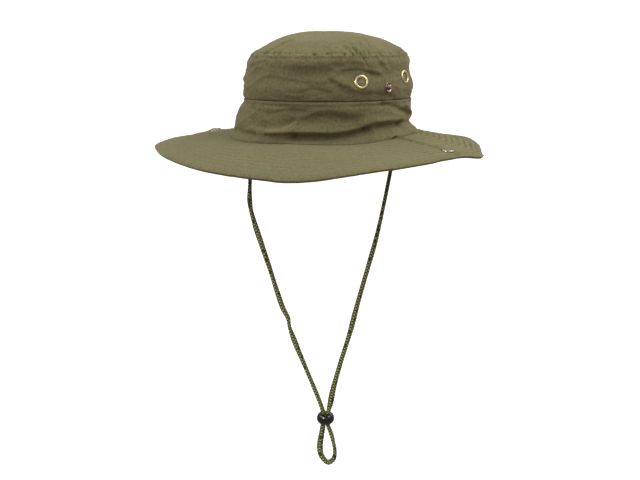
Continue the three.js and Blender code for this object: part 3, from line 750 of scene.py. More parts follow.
def put_on(bm, seat):
    bmesh.ops.transform(bm, matrix=seat, verts=bm.verts[:])


def turn_verts(bm, verts, axis):
    """Turns vertices by a quarter round an axis."""
    bmesh.ops.rotate(bm, verts=verts, cent=(0, 0, 0), matrix=Matrix.Rotation(math.pi / 2, 3, axis))


def punch(bm, holes):
    """Cuts round holes: faces inside go, and the hole's edge is drawn out to its circle."""
    for seat, radius in holes:
        inverse = seat.inverted()
        near = [v for v in bm.verts if (v.co - seat.translation).length < 3 * radius + 3 * MM]
        inside = {v for v in near if (inverse @ v.co).xy.length < radius}
        faces = {f for v in inside for f in v.link_faces}
        rim = {v for f in faces for v in f.verts} - inside
        bmesh.ops.delete(bm, geom=list(faces), context="FACES")
        for vert in rim:
            place = inverse @ vert.co
            place.xy = place.xy.normalized() * radius
            vert.co = seat @ place


def mark_edges(bm, closed):
    """Marks the sharp edges to be rounded, apart from those where one half of the brim meets the other."""
    soft = bm.edges.layers.float.new("bevel_weight_edge")
    for edge in bm.edges:
        butted = all(abs(v.co.y) < 0.2 * MM for v in edge.verts)
        if edge.calc_face_angle(0) > math.radians(50) and (closed or not butted):
            edge[soft] = 1


def cloth_wall(columns, rows, face, closed, holes=(), flat_size=None, crest_light_paint=None):
    """A closed wall of cloth: a grid laid on the outer face, and extruded to the inner one.

    Its UV map is in metres: over the cloth laid flat, for a flat_size, and otherwise in plan.
    """
    bm = bmesh.new()
    bmesh.ops.create_grid(bm, x_segments=columns, y_segments=rows, size=0.5)
    u, v = np.array([vert.co[:2] for vert in bm.verts]).T + 0.5
    outer, inner = face(u, v)
    weave = bm.loops.layers.uv.new("weave")
    threads = (np.stack([u, v], axis=1) * flat_size if flat_size else outer[:, :2]).tolist()
    source = bm.verts.layers.int.new("source")
    # painted light on the brim's quilted crests, kept on the vertices
    if crest_light_paint:
        rubbed = bm.verts.layers.float.new("rubbed")
        for vert, amount in zip(bm.verts, crest_light_paint(u, v).tolist()):
            vert[rubbed] = amount
    for vert, place in zip(bm.verts, outer.tolist()):
        vert[source] = vert.index
        vert.co = place
    for f in bm.faces:
        for loop in f.loops:
            loop[weave].uv = threads[loop.vert.index]
    if closed:
        merge_doubles(bm)
    punch(bm, holes)
    made = bmesh.ops.extrude_face_region(bm, geom=bm.faces[:], use_keep_orig=True)["geom"]
    shift = (inner - outer).tolist()
    for vert in (g for g in made if isinstance(g, bmesh.types.BMVert)):
        vert.co += Vector(shift[vert[source]])
    bm.verts.layers.int.remove(bm.verts.layers.int["source"])
    face_outwards(bm)
    mark_edges(bm, closed)
    return bm


def spun(profile, steps, seat=Matrix(), size=MM):
    """A turned solid from its half profile: (radius, height) pairs, axis to axis or round a closed loop."""
    bm = bmesh.new()
    verts = [bm.verts.new((radius * size, 0, height * size)) for radius, height in profile]
    ring = profile[0][0] > 0 and profile[-1][0] > 0
    edges = [bm.edges.new(pair) for pair in zip(verts, verts[1:] + verts[:1] if ring else verts[1:])]
    bmesh.ops.spin(
        bm, geom=verts + edges, cent=(0, 0, 0), axis=(0, 0, 1), dvec=(0, 0, 0),
        angle=2 * math.pi, steps=steps, use_merge=True,
    )
    merge_doubles(bm)
    face_outwards(bm)
    put_on(bm, seat)
    return bm


# ---------------------------------------------------------------- seats of the fittings


def shifted(place):
    return Matrix.Translation(Vector(place))


def facing(way):
    """The turn that points Z along a direction."""
    return Vector((0, 0, 1)).rotation_difference(Vector(way)).to_matrix().to_4x4()


def seat_of(node, top):
    """The seat of a turned part of the construction, with Z out along its axis.

    top is how far its highest point stands over the seat, in mm.
    """
    points = np.unique(np.round([v.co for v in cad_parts[node].data.vertices], 7), axis=0)
    middle = points.mean(axis=0)
    sizes, ways = np.linalg.eigh(np.cov((points - middle).T))
    odd = 0 if sizes[1] - sizes[0] > sizes[2] - sizes[1] else 2
    axis = ways[:, odd]
    outside = np.array([middle[0], middle[1], 0]) if abs(axis[2]) < 0.7 else np.array([0, 0, 1])
    axis = axis * np.sign(axis @ outside)
    return shifted(middle + axis * (((points - middle) @ axis).max() - top * MM)) @ facing(axis)


def azimuth_of(x, y):
    return float(np.degrees(np.arctan2(y / HALF_LONG, x / HALF_WIDE)))


def wall_place(point):
    """The azimuth and height of a place on the crown's wall."""
    lean = crown_at(CROWN_LEANS, point[2])
    azimuth = azimuth_of(point[0] - lean * cosd(LEAN_TOWARDS), point[1] - lean * sind(LEAN_TOWARDS))
    return azimuth, float(point[2])


def on_wall(seat, shift):
    """Moves a seat by a small shift, and then along its own axis on to the upper wall's outer face."""
    seat = shifted(shift) @ seat
    azimuth, height = wall_place(seat.translation)
    low, high = (seam_height(name, azimuth) for name in ("middle", "top"))
    place, _ = wall_base("middle", "top", np.array(azimuth), np.array((height - low) / (high - low)))
    axis = seat.to_3x3() @ Vector((0, 0, 1))
    return shifted(axis * ((Vector(place) - seat.translation).dot(axis) + SEAT_PROUD)) @ seat


def on_brim(seat, shift, raised_side, degrees):
    """Lays a seat on the brim's upper face, shifted in plan, with one side raised by some degrees.

    The slope is taken a few degrees past the seat, clear of the side seam's ridge.
    """
    x, y = seat.translation.x + shift[0], seat.translation.y + shift[1]
    azimuth = azimuth_of(x, y)
    inner, outer = (math.hypot(*brim_upper(np.array(azimuth), np.array(d))[:2]) for d in (0.0, 1.0))
    distance = (math.hypot(x, y) - inner) / (outer - inner)
    here, further, round_it, level = (
        Vector(brim_face(np.array(azimuth + turn), np.array(distance + step))[0])
        for turn, step in ((4, 0), (4, 0.04), (6, 0), (3, 0))
    )
    normal = (further - here).cross(round_it - here).normalized()
    hinge = Vector(direction(raised_side, 0)).cross(Vector((0, 0, 1)))
    turned = Matrix.Rotation(math.radians(degrees), 4, hinge) @ facing(normal)
    return shifted((x, y, level.z - SOCKET_SUNK)) @ turned


# ---------------------------------------------------------------- materials


class Value:
    """A number that varies over a surface. Python's operators on it add Math nodes."""

    def __init__(self, nodes, socket):
        self.nodes, self.socket = nodes, socket

    def math(self, operation, *inputs):
        return self.nodes.node("ShaderNodeMath", {"operation": operation}, inputs)

    def __add__(self, other):
        return self.math("ADD", self, other)

    def __sub__(self, other):
        return self.math("SUBTRACT", self, other)

    def __rsub__(self, other):
        return self.math("SUBTRACT", other, self)

    def __mul__(self, other):
        return self.math("MULTIPLY", self, other)

    def __pow__(self, other):
        return self.math("POWER", self, other)

    def __abs__(self):
        return self.math("ABSOLUTE", self)

    def sine(self):
        return self.math("SINE", self)

    def clip(self):
        return self.nodes.node("ShaderNodeClamp", {}, [self])

    __radd__, __rmul__ = __add__, __mul__


class Nodes:
    """A node tree, and one way to add nodes to it."""

    def __init__(self, tree):
        self.tree = tree

    def node(self, kind, settings, inputs, output=0):
        """Adds a node. inputs is a list in socket order or a dict by name, of numbers, colours and Values."""
        node = self.tree.nodes.new(kind)
        for key, value in settings.items():
            if key == "stops":
                set_stops(node.color_ramp.elements, value)
            else:
                setattr(node, key, value)
        named = inputs.items() if isinstance(inputs, dict) else enumerate(inputs)
        for socket, value in named:
            self.feed(node.inputs[socket], value)
        return Value(self, node.outputs[output]) if node.outputs else None

    def feed(self, socket, value):
        if isinstance(value, Value):
            self.tree.links.new(value.socket, socket)
        else:
            socket.default_value = value

    def split(self, vector):
        parts = self.node("ShaderNodeSeparateXYZ", {}, [vector])
        return [Value(self, output) for output in parts.socket.node.outputs]


def set_stops(elements, stops):
    while len(elements) < len(stops):
        elements.new(0.5)
    for element, (place, colour) in zip(elements, stops):
        element.position, element.color = place, colour


class Paint(Nodes):
    """A new material, its one shader, and short ways to the nodes that it needs."""

    def __init__(self, name, **constants):
        self.material = bpy.data.materials.new(name)
        self.material.use_nodes = True
        super().__init__(self.material.node_tree)
        self.shader = self.tree.nodes["Principled BSDF"]
        self.finish(**constants)

    def finish(self, **sockets):
        """Sets or links the shader's sockets, named with _ for each space."""
        for name, value in sockets.items():
            self.feed(self.shader.inputs[name.replace("_", " ")], value)
        return self.material

    def uv(self, name):
        return self.node("ShaderNodeUVMap", {"uv_map": name}, {})

    def layer(self, name):
        """A number that the mesh carries on its vertices."""
        return self.node("ShaderNodeAttribute", {"attribute_name": name}, {}, "Fac")

    def noise(self, scale, detail=2.0, roughness=0.5, vector=None):
        """Soft noise, with the given number of cells to the metre each way."""
        vector = vector or self.node("ShaderNodeTexCoord", {}, {}, "Object")
        scaled = self.node("ShaderNodeVectorMath", {"operation": "MULTIPLY"}, [vector, scale])
        inputs = {"Vector": scaled, "Scale": 1.0, "Detail": detail, "Roughness": roughness}
        return self.node("ShaderNodeTexNoise", {}, inputs)

    def blend(self, factor, a, b):
        return self.node("ShaderNodeMix", {"data_type": "RGBA"}, {0: factor, 6: a, 7: b}, 2)

    def tint(self, factor, colour):
        """A colour made lighter or darker by a number."""
        settings = {"data_type": "RGBA", "blend_type": "MULTIPLY"}
        return self.node("ShaderNodeMix", settings, {0: 1.0, 6: colour, 7: factor}, 2)

    def bump(self, height, distance, strength=1.0):
        """Adds a bump of the given depth in metres to the ones already there."""
        inputs = {"Height": height, "Distance": distance, "Strength": strength}
        linked = self.shader.inputs["Normal"].links
        if linked:
            inputs["Normal"] = Value(self, linked[0].from_socket)
        self.finish(Normal=self.node("ShaderNodeBump", {}, inputs))


def rgb(red, green, blue):
    """A display colour, 0 to 255, as the linear colour that a shader takes."""
    linear = [((c / 255 + 0.055) / 1.055) ** 2.4 if c > 10 else c / 255 / 12.92 for c in (red, green, blue)]
    return (*linear, 1.0)


def toned(colour, *factors):
    return (*(c * f for c, f in zip(colour, factors)), 1.0)


def cells(*sizes):
    """The scale of a noise whose cells have the given sizes in mm."""
    return tuple(1 / (size * MM) for size in sizes) + (1,)


OLIVE = rgb(127, 123, 88)
PAINTED_LIGHTER_OLIVE = rgb(133, 129, 94)  # the brim's back half painted paler: painted light for the brighter light it catches on the right
THREAD_PITCH = 0.62 * MM  # from thread to thread of the weave


def cloth_material(name, colour):
    """Cotton drill: crossing threads with slubs, soft fading, a fine crumple, and painted light on the brim's
    quilted crests.
    """
    paint = Paint(
        name, Roughness=0.95, Sheen_Weight=0.22, Sheen_Roughness=0.55, Sheen_Tint=rgb(215, 210, 190),
        Specular_IOR_Level=0.18,
    )
    weave = paint.uv("weave")
    along, up, _ = paint.split(weave)
    warp, weft = ((way * (math.pi / THREAD_PITCH)).sine() for way in (along, up))
    threads = abs(warp * weft) ** 0.6
    slubs = paint.noise(cells(1.2, 5), 1.0, vector=weave) + paint.noise(cells(5, 1.2), 1.0, vector=weave)
    mottle = paint.noise(cells(2.6, 2.6), 2.0, 0.6, weave)
    faded = paint.noise((28, 28, 34), 3.0, 0.55)
    shade = 0.045 + slubs * 0.26 + mottle * 0.95 + faded * 0.26 + threads * 0.16
    # painted light: the brim's quilted crests are painted paler
    shade = shade + paint.layer("rubbed") * 0.26
    patches = paint.noise((60, 60, 75), 3.0, 0.6)
    brown, green = toned(colour, 1.05, 0.985, 0.965), toned(colour, 0.97, 1.01, 0.985)
    paint.bump(paint.noise((170, 170, 230), 3.0, 0.6), 0.7 * MM, 0.55)
    paint.bump(threads + slubs * 0.8, 0.07 * MM, 0.8)
    return paint.finish(
        Base_Color=paint.tint(shade, paint.blend((patches * 3 - 1).clip(), green, brown)),
        Roughness=(0.86 + mottle * 0.16).clip(),
    )


def thread_material():
    paint = Paint("sewing_thread", Roughness=0.7, Sheen_Weight=0.2, Specular_IOR_Level=0.3)
    shade = paint.noise((900, 900, 900)) * 0.5 + 0.78
    return paint.finish(Base_Color=paint.tint(shade, rgb(124, 119, 82)))


def metal_material(name, colour, roughness, worn):
    """Plated metal, with fine scratches and duller worn places."""
    paint = Paint(name, Metallic=1.0)
    wear = paint.noise((420, 420, 420), 4.0, 0.65)
    fine = paint.noise((2600, 2600, 900))
    paint.bump(fine, 0.05 * MM, 0.4)
    return paint.finish(
        Base_Color=paint.blend((wear * 1.4 - 0.3).clip(), colour, worn),
        Roughness=(roughness + wear * 0.22 + fine * 0.08 - 0.12).clip(),
    )


def bead_material():
    paint = Paint(
        "black_plastic", Specular_IOR_Level=0.6, Coat_Roughness=0.08, Specular_Tint=(0.82, 1.0, 0.90, 1.0)
    )
    scuff = paint.noise((300, 300, 300), 4.0, 0.7)
    return paint.finish(
        Base_Color=paint.blend(scuff, rgb(7, 10, 8), rgb(14, 19, 16)),
        Roughness=scuff * 0.16 + 0.1,
        Coat_Weight=0.5 - scuff * 0.3,
    )


def cord_material():
    """Braided cord: olive strands with darker ones, by the braid's own map and shade, painted near-black in
    the gaps as painted shade and palest on the highest diamonds as a painted highlight.
    """
    paint = Paint("braided_cord", Roughness=0.8, Sheen_Weight=0.25, Specular_IOR_Level=0.25)
    grain = paint.noise(cells(0.3, 1.4), vector=paint.uv("braid"))
    level = (paint.layer("shade") * 1.35 + grain * 0.4 - 0.2).clip()
    # painted shade near black where the braid's relief is low, and a pale painted highlight where it stands
    # highest
    strands = paint.blend((level * 2.2).clip(), rgb(11, 15, 10), rgb(108, 128, 70))
    paint.bump(grain, 0.15 * MM, 0.7)
    return paint.finish(Base_Color=paint.blend((level * 2 - 0.9).clip(), strands, rgb(226, 238, 160)))


# ---------------------------------------------------------------- camera, light and backdrop

CAMERA_DISTANCE = 0.9
CAMERA_AZIMUTH, CAMERA_RAISED = -52, 7.2  # where the camera stands round the hat, degrees
CAMERA_DOWN, CAMERA_YAW = 14.18, 0.228  # how far it looks down, and to the left of the hat's axis
CAMERA_LENS = 49.39

# The sky's light: share of the way from straight below to straight above, and colour.
SKY = [
    (0.0, (0.430, 0.362, 0.322, 1)),
    (0.5, (0.358, 0.236, 0.282, 1)),
    (1.0, (0.822, 0.896, 0.872, 1)),
]
SKY_STRENGTH = 0.822
LIGHT_DISTANCE, LIGHT_CENTRE = 1.28, -0.1  # the lights stand on a ball round this height
LIGHT_COLOUR = (1.0, 0.975, 0.86)
# Lights: azimuth and height of each in degrees, size in metres, power.
SOFTBOXES = [
    ("right_softbox", 24, 54, 0.8, 4.4),
    ("left_softbox", 222, 40, 0.9, 4.4),
    ("back_softbox", 66, 34, 0.9, 2.3),
]
# Small cards that only shiny things reflect, by the same columns.
GLINTS = [
    ("front_card", -86, 24, 0.34, 9.0),
    ("side_card", 16, 42, 0.4, 2.5),
]
FLOOR, FLOOR_RADIUS, FLOOR_CORNER = -1.6, 5.0, 1.5  # its height, reach, and radius of its curve upwards
WALL_TOP, ROOF_PEAK = 4, 7


def place_camera():
    camera = add_object("camera", bpy.data.cameras.new("camera"))
    camera.data.lens = CAMERA_LENS
    camera.data.sensor_width = 36
    camera.location = direction(CAMERA_AZIMUTH, CAMERA_RAISED) * CAMERA_DISTANCE
    heading = CAMERA_AZIMUTH + 90 + CAMERA_YAW
    camera.rotation_euler = (math.radians(90 - CAMERA_DOWN), 0, math.radians(heading))
    bpy.context.scene.camera = camera


def sky():
    """Soft light from above, dimmer and warmer from below."""
    world = bpy.data.worlds.new("studio")
    bpy.context.scene.world = world
    world.use_nodes = True
    world.node_tree.nodes.clear()
    nodes = Nodes(world.node_tree)
    _, _, height = nodes.split(nodes.node("ShaderNodeTexCoord", {}, {}, "Generated"))
    share = nodes.node("ShaderNodeMapRange", {}, {"Value": height, "From Min": -1})
    colour = nodes.node("ShaderNodeValToRGB", {"stops": SKY}, {"Fac": share})
    light = nodes.node("ShaderNodeBackground", {}, {"Color": colour, "Strength": SKY_STRENGTH})
    nodes.node("ShaderNodeOutputWorld", {}, {"Surface": light})


def add_card(name, azimuth, raised, size, power):
    """A round soft light that faces the hat."""
    card = bpy.data.lights.new(name, "AREA")
    card.shape = "DISK"
    card.size = size
    card.energy = power
    card.color = LIGHT_COLOUR
    lamp = add_object(name, card)
    way = Vector(direction(azimuth, raised))
    lamp.location = way * LIGHT_DISTANCE + Vector((0, 0, LIGHT_CENTRE))
    lamp.rotation_euler = way.to_track_quat("Z", "Y").to_euler()
    return lamp


def pale_floor():
    """A pale shell round the hat, whose floor curves up into its wall."""
    curve = [
        (FLOOR_RADIUS - FLOOR_CORNER * (1 - math.sin(a)), FLOOR + FLOOR_CORNER * (1 - math.cos(a)))
        for a in np.linspace(0, math.pi / 2, 9)
    ]
    profile = [(0, FLOOR), *curve, (FLOOR_RADIUS, WALL_TOP), (0, ROOF_PEAK)]
    paint = Paint(
        "pale_paper", Roughness=0.9, Base_Color=(0.82, 0.82, 0.82, 1), Emission_Color=(1, 1, 1, 1),
        Emission_Strength=0.92,
    )
    shell = add_shape("pale_floor", mesh_of("pale_floor", spun(profile, 64, size=1)), paint.material)
    shell.visible_diffuse = shell.visible_glossy = False
    shell.visible_shadow = shell.visible_transmission = False
    shell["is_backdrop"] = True


def studio():
    bpy.context.scene.view_settings.view_transform = "Standard"
    sky()
    for card in SOFTBOXES:
        add_card(*card)
    for card in GLINTS:
        add_card(*card).visible_diffuse = False
    pale_floor()


# ---------------------------------------------------------------- chin cord

CORD_PLANE = 14  # azimuth of the upright plane that the cord hangs in
CORD_SIDES, CORD_STEP = 32, 0.42 * MM
CORD_FLAT = 22.0 * MM * MM  # its braid is a little flat: width times thickness
# How wide the twisting braid looks from the front: distance along it, width (mm).
CORD_WIDTHS = np.array([
    (0, 3.8), (60, 3.8), (75, 3.8), (90, 6.4), (101, 5.1), (112, 5.8), (124, 7.3), (147, 6.8),
    (164, 6.1), (181, 5.5), (204, 7.1), (224, 5.8), (234, 3.6), (251, 7.4), (275, 5.8), (299, 5.0),
    (308, 5.5), (320, 5.4), (335, 5.4), (357, 6.4), (379, 7.6), (391, 7.6), (407, 6.0), (428, 4.2),
    (441, 5.4), (455, 4.9), (470, 5.0), (484, 7.4), (508, 6.0), (533, 5.5), (559, 5.4), (583, 6.4),
    (606, 5.5), (640, 5.2), (664, 5.5), (698, 4.2), (730, 3.9), (800, 3.8),
]).T * MM
CORD_TUCK = 2.4 * MM  # how far inwards its sewn ends sit, clear of the deepest folds
CORD_TUCKED = (-22 * MM, 2 * MM)  # the heights between which it moves inwards
CORD_PAINTED_SHADOW = (40 * MM, 80 * MM)  # the depths over which the brim's painted shadow on its strands fades out
BRAID_LOW, BRAID_RELIEF = 0.88, 0.16  # its girth between the strands, and how much they add
DARK_SHARE, DARKER = 0.14, 0.35  # how many diamonds are dark, and how dark
BRAID_CELLS, BRAID_PITCH = 4, 3.4 * MM  # diamonds round the cord, and a diamond's length
BRAID_ROUND = 13.4 * MM  # the length round the cord on the braid's map
# (across, height) from the right end, through the bead, round the loop and back up to the left end.
CORD_ROUTE = [
    (-0.0793, 0.0125), (-0.0792, 0.0010), (-0.0802, -0.0120), (-0.0834, -0.0320), (-0.0862, -0.0580),
    (-0.0867, -0.0820), (-0.0820, -0.1010), (-0.0728, -0.1270), (-0.0632, -0.1530), (-0.0542, -0.1795),
    (-0.0340, -0.2320), (-0.0220, -0.2580), (-0.0099, -0.2842), (-0.0034, -0.2990), (-0.0002, -0.3085),
    (0.0004, -0.3170), (-0.0004, -0.3260), (-0.0022, -0.3370), (-0.0039, -0.3490), (-0.0024, -0.3610),
    (0.0054, -0.3683), (0.0126, -0.3625), (0.0142, -0.3530), (0.0123, -0.3420), (0.0091, -0.3310),
    (0.0058, -0.3230), (0.0052, -0.3155), (0.0060, -0.3075), (0.0084, -0.2970), (0.0116, -0.2803),
    (0.0192, -0.2510), (0.0305, -0.2127), (0.0398, -0.1757), (0.0496, -0.1397), (0.0590, -0.1046),
    (0.0662, -0.0706), (0.0729, -0.0345), (0.0766, -0.0120), (0.0776, 0.0010), (0.0763, 0.0125),
]
# A small bend set in the right strap: how far along the cord, how far aside, and its spread.
CORD_BEND = {"at": 225.5 * MM, "aside": 2.3 * MM, "spread": 7.5 * MM}


def in_cord_plane(across, height):
    return np.stack([across * cosd(CORD_PLANE), across * sind(CORD_PLANE), height], axis=-1)


def through(points, steps):
    """A centripetal curve through points, with the given steps in each stretch."""
    points = np.array(points, float)
    ends = np.array([2 * points[0] - points[1], 2 * points[-1] - points[-2]])
    p = np.concatenate([ends[:1], points, ends[1:]])
    chord = np.sqrt(np.linalg.norm(np.diff(p, axis=0), axis=1))[:, None]
    s = np.arange(steps)[:, None] / steps
    made = []
    for i in range(1, len(p) - 2):
        before, here, after = chord[i - 1], chord[i], chord[i + 1]
        a, b, c, d = p[i - 1 : i + 3]
        start = (b - a) / before - (c - a) / (before + here) + (c - b) / here
        end = (c - b) / here - (d - b) / (here + after) + (d - c) / after
        made.append(cubic(s, b, here * start, c, here * end))
    return np.concatenate([*made, p[-2:-1]])


def distance_along(line):
    return np.concatenate([[0], np.cumsum(np.linalg.norm(np.diff(line, axis=0), axis=1))])


def read_along(at, along, line):
    """The line's points at the given distances along it."""
    return np.stack([np.interp(at, along, column) for column in line.T], axis=1)


def cord_middle():
    """The cord's middle line in its plane, by even steps, and the distance along it."""
    line = through(CORD_ROUTE, 24)
    along = distance_along(line)
    at = np.linspace(0, along[-1], math.ceil(along[-1] / CORD_STEP) + 1)
    line = read_along(at, along, line)
    line[:, 0] += CORD_BEND["aside"] * bell(at - CORD_BEND["at"], CORD_BEND["spread"])
    return line, at


def braid(along, round_it):
    """(relief, shade) of the braid: raised diamonds, some of them of dark strands, with painted shade that
    darkens the gaps between them.
    """
    a = BRAID_CELLS * round_it + along / BRAID_PITCH
    b = BRAID_CELLS * round_it - along / BRAID_PITCH
    relief = np.abs(np.sin(np.pi * a) * np.sin(np.pi * b)) ** 0.8
    cell_a, cell_b = np.floor(a + 1e-9).astype(int), np.floor(b + 1e-9).astype(int)
    dark = np.random.default_rng(4).random(977)[(cell_a * 31 + cell_b * 57) % 977]
    parity = (cell_a + cell_b) % 2
    shade = (0.72 + 0.28 * parity) * np.where(dark < DARK_SHARE, DARKER, 1.0) * (0.75 + 0.25 * dark)
    # painted shade: the shade falls with the relief, darkest in the gaps between diamonds
    return relief, relief * shade


def cord_rings(line, along):
    """The cord's surface as rings of points round its middle, their shade with painted shade in the braid's
    gaps and the brim's painted shadow, and the middle line.
    """
    tangent = unit(np.gradient(line, axis=0))
    inwards = CORD_TUCK * ramp(line[:, 1], *CORD_TUCKED)
    centre = in_cord_plane(line[:, 0] - np.sign(line[:, 0]) * inwards, line[:, 1])
    beside = in_cord_plane(-tangent[:, 1], tangent[:, 0])
    round_it = np.arange(CORD_SIDES)[None, :] / CORD_SIDES
    relief, shade = braid(along[:, None], round_it)
    swell = BRAID_LOW + BRAID_RELIEF * relief
    in_plane = smooth(*CORD_WIDTHS, along)[:, None] / 2
    off_plane = CORD_FLAT / 4 / in_plane
    rings = (
        centre[:, None, :]
        + beside[:, None, :] * (in_plane * swell * np.cos(2 * np.pi * round_it))[..., None]
        + np.array([-sind(CORD_PLANE), cosd(CORD_PLANE), 0.0])
        * (off_plane * swell * np.sin(2 * np.pi * round_it))[..., None]
    )
    # painted shadow of the brim: the strands near the top are painted darker
    return rings, shade * mix(0.45, 1.0, ramp(-line[:, 1], *CORD_PAINTED_SHADOW))[:, None], centre


def chin_cord(material):
    """A flat-sided braid, a grid rolled into a tube along the route: the piece, its middle, its length."""
    line, along = cord_middle()
    rings, shade, centre = cord_rings(line, along)
    bm = bmesh.new()
    last = len(line) - 1
    bmesh.ops.create_grid(bm, x_segments=CORD_SIDES, y_segments=last, size=0.5)
    strands = bm.loops.layers.uv.new("braid")
    for f in bm.faces:
        for loop in f.loops:
            loop[strands].uv = (loop.vert.co.x + 0.5) * BRAID_ROUND, (loop.vert.co.y + 0.5) * along[-1]
    tone = bm.verts.layers.float.new("shade")
    for vert in bm.verts:
        side = round((vert.co.x + 0.5) * CORD_SIDES) % CORD_SIDES
        row = round((vert.co.y + 0.5) * last)
        vert[tone] = shade[row, side]
        vert.co = rings[row, side]
    merge_doubles(bm)
    cap_ends(bm)
    name = "braided_chin_cord"
    return finish_piece(name, mesh_of(name, bm), material, ["chin_cord"]), centre, float(along[-1])


BEAD_ACROSS, BEAD_HEIGHT = 2.8 * MM, -315 * MM  # its place in the cord's plane
BEAD_HALF, BEAD_RADIUS, BEAD_BULGE = 5.5, 9.7, 8.2  # half its length, and its barrel's oval, mm
BEAD_HOLE, BEAD_HOLE_FLAT = 6.3 * MM, 0.62  # what counts as its hole's rim, and how narrow that is made


def sliding_bead(material):
    """A barrel bead with a long hole that hugs both cords."""
    barrel = [(BEAD_RADIUS * math.sqrt(1 - (z / BEAD_BULGE) ** 2), z) for z in (0, 1.2, 2.4, 3.5, 4.4)]
    rim = [(7.6, -0.45), (6.9, -0.05), (6.2, 0), (5.7, -0.2), (5.4, -0.7), (5.25, -1.6)]
    upper = barrel + [(radius, BEAD_HALF + z) for radius, z in rim]
    bm = spun([(r, -z) for r, z in upper[:0:-1]] + upper, 40)
    hole = [v for v in bm.verts if v.co.xy.length < BEAD_HOLE]
    bmesh.ops.scale(bm, verts=hole, vec=(1, BEAD_HOLE_FLAT, 1))
    seat = shifted(in_cord_plane(np.array(BEAD_ACROSS), np.array(BEAD_HEIGHT)))
    put_on(bm, seat @ Matrix.Rotation(math.radians(CORD_PLANE), 4, "Z"))
    return rounded("sliding_bead", bm, material, "cord_bead", 1)


# ---------------------------------------------------------------- metal


def eyelet_ring(node, seat, brass):
    """A rolled rim and barrel, with a washer behind the cloth."""
    back = -2.6
    profile = [
        (4.35, back), (4.35, 0.4), (4.5, 1.05), (5.0, 1.4), (5.7, 1.4), (6.3, 1.05), (6.65, 0.5), (6.5, 0.2),
        (6.0, 0.15), (4.8, 0.25), (4.75, back + 0.55), (5.8, back + 0.5), (6.1, back + 0.3), (5.8, back),
    ]
    rounded(f"{node}_ring", spun(profile, 40, seat), brass, node, 1)


SCREEN_REACH, SCREEN_PITCH, SCREEN_WIRE = 4.3 * MM, 0.66 * MM, 0.15 * MM
SCREEN_WAVE, SCREEN_SUNK = 0.13 * MM, 0.25 * MM  # how far its wires weave up and down, and how deep it sits
SCREEN_TURN = 0.4
WIRE_STEPS = 26


def woven_wire(bm, half, aside, first):
    """A round wire along X that weaves over and under others. first is 1 where its middle is high, or -1."""
    wire = bmesh.ops.create_circle(bm, segments=6, radius=SCREEN_WIRE)["verts"]
    turn_verts(bm, wire, "Y")
    bmesh.ops.translate(bm, verts=wire, vec=(-half, aside, 0))
    edges = list({e for v in wire for e in v.link_edges})
    for _ in range(WIRE_STEPS):
        out = bmesh.ops.extrude_edge_only(bm, edges=edges)["geom"]
        verts = [g for g in out if isinstance(g, bmesh.types.BMVert)]
        edges = [g for g in out if isinstance(g, bmesh.types.BMEdge)]
        bmesh.ops.translate(bm, verts=verts, vec=(2 * half / WIRE_STEPS, 0, 0))
        wire = wire + verts
    for vert in wire:
        vert.co.z += first * SCREEN_WAVE * math.cos(math.pi * vert.co.x / SCREEN_PITCH) - SCREEN_SUNK
    return wire


def woven_screen(node, seat, metal):
    bm = bmesh.new()
    count = int(SCREEN_REACH / SCREEN_PITCH)
    for across in (0, 1):
        for k in range(-count, count + 1):
            half = math.sqrt(SCREEN_REACH**2 - (k * SCREEN_PITCH) ** 2)
            wire = woven_wire(bm, half, k * SCREEN_PITCH, 1 if (k + across) % 2 else -1)
            if across:
                turn_verts(bm, wire, "Z")
    cap_ends(bm)
    put_on(bm, seat @ Matrix.Rotation(SCREEN_TURN, 4, "Z"))
    finish_piece(f"{node}_screen", mesh_of(f"{node}_screen", bm), metal)


def snap_stud(node, seat, nickel):
    """A dished base with a rolled lip, a ball on a neck, and a riveted cap behind the cloth."""
    profile = [
        (0, -3.2), (3.4, -3.2), (4.3, -3.0), (4.5, -2.65), (4.3, -2.35), (1.6, -2.3), (1.5, -1.9), (1.5, 0.1),
        (4.3, 0.3), (4.75, 0.45), (4.9, 0.85), (4.6, 1.3), (4.2, 1.35), (3.8, 1.0), (3.4, 0.7), (2.1, 0.65),
        (1.7, 0.85), (1.75, 1.3), (2.3, 1.7), (2.5, 2.4), (2.2, 3.1), (1.5, 3.55), (0.7, 3.6), (0.45, 3.3),
        (0, 3.2),
    ]
    rounded(f"{node}_metal", spun(profile, 24, seat), nickel, node)


def snap_socket(node, seat, nickel):
    """A raised ring round a well that takes the stud's ball, a shank, and a domed cap under the brim."""
    profile = [
        (0, -4.3), (2.6, -4.2), (4.6, -3.8), (5.7, -3.3), (5.95, -2.95), (5.6, -2.75), (2.0, -2.7),
        (1.9, -2.4), (1.9, 0.1), (6.1, 0.3), (6.65, 0.6), (6.55, 1.3), (5.9, 1.85), (4.8, 1.95), (3.4, 1.85),
        (2.7, 1.55), (2.35, 1.0), (2.3, 0.75), (1.8, 0.62), (0, 0.62),
    ]
    rounded(f"{node}_metal", spun(profile, 24, seat), nickel, node)


# ---------------------------------------------------------------- stitching


def stitch_shape():
    """One raised stitch: a stretched ball with pointed ends, lying along X."""
    bm = bmesh.new()
    bmesh.ops.create_uvsphere(bm, u_segments=4, v_segments=3, radius=0.5)
    turn_verts(bm, bm.verts[:], "Y")
    bmesh.ops.scale(bm, verts=bm.verts[:], vec=(STITCH["length"], STITCH["wide"], STITCH["tall"]))
    bmesh.ops.triangulate(bm, faces=bm.faces[:])
    places = np.array([v.co for v in bm.verts])
    faces = np.array([[v.index for v in f.verts] for f in bm.faces])
    bm.free()
    return places, faces


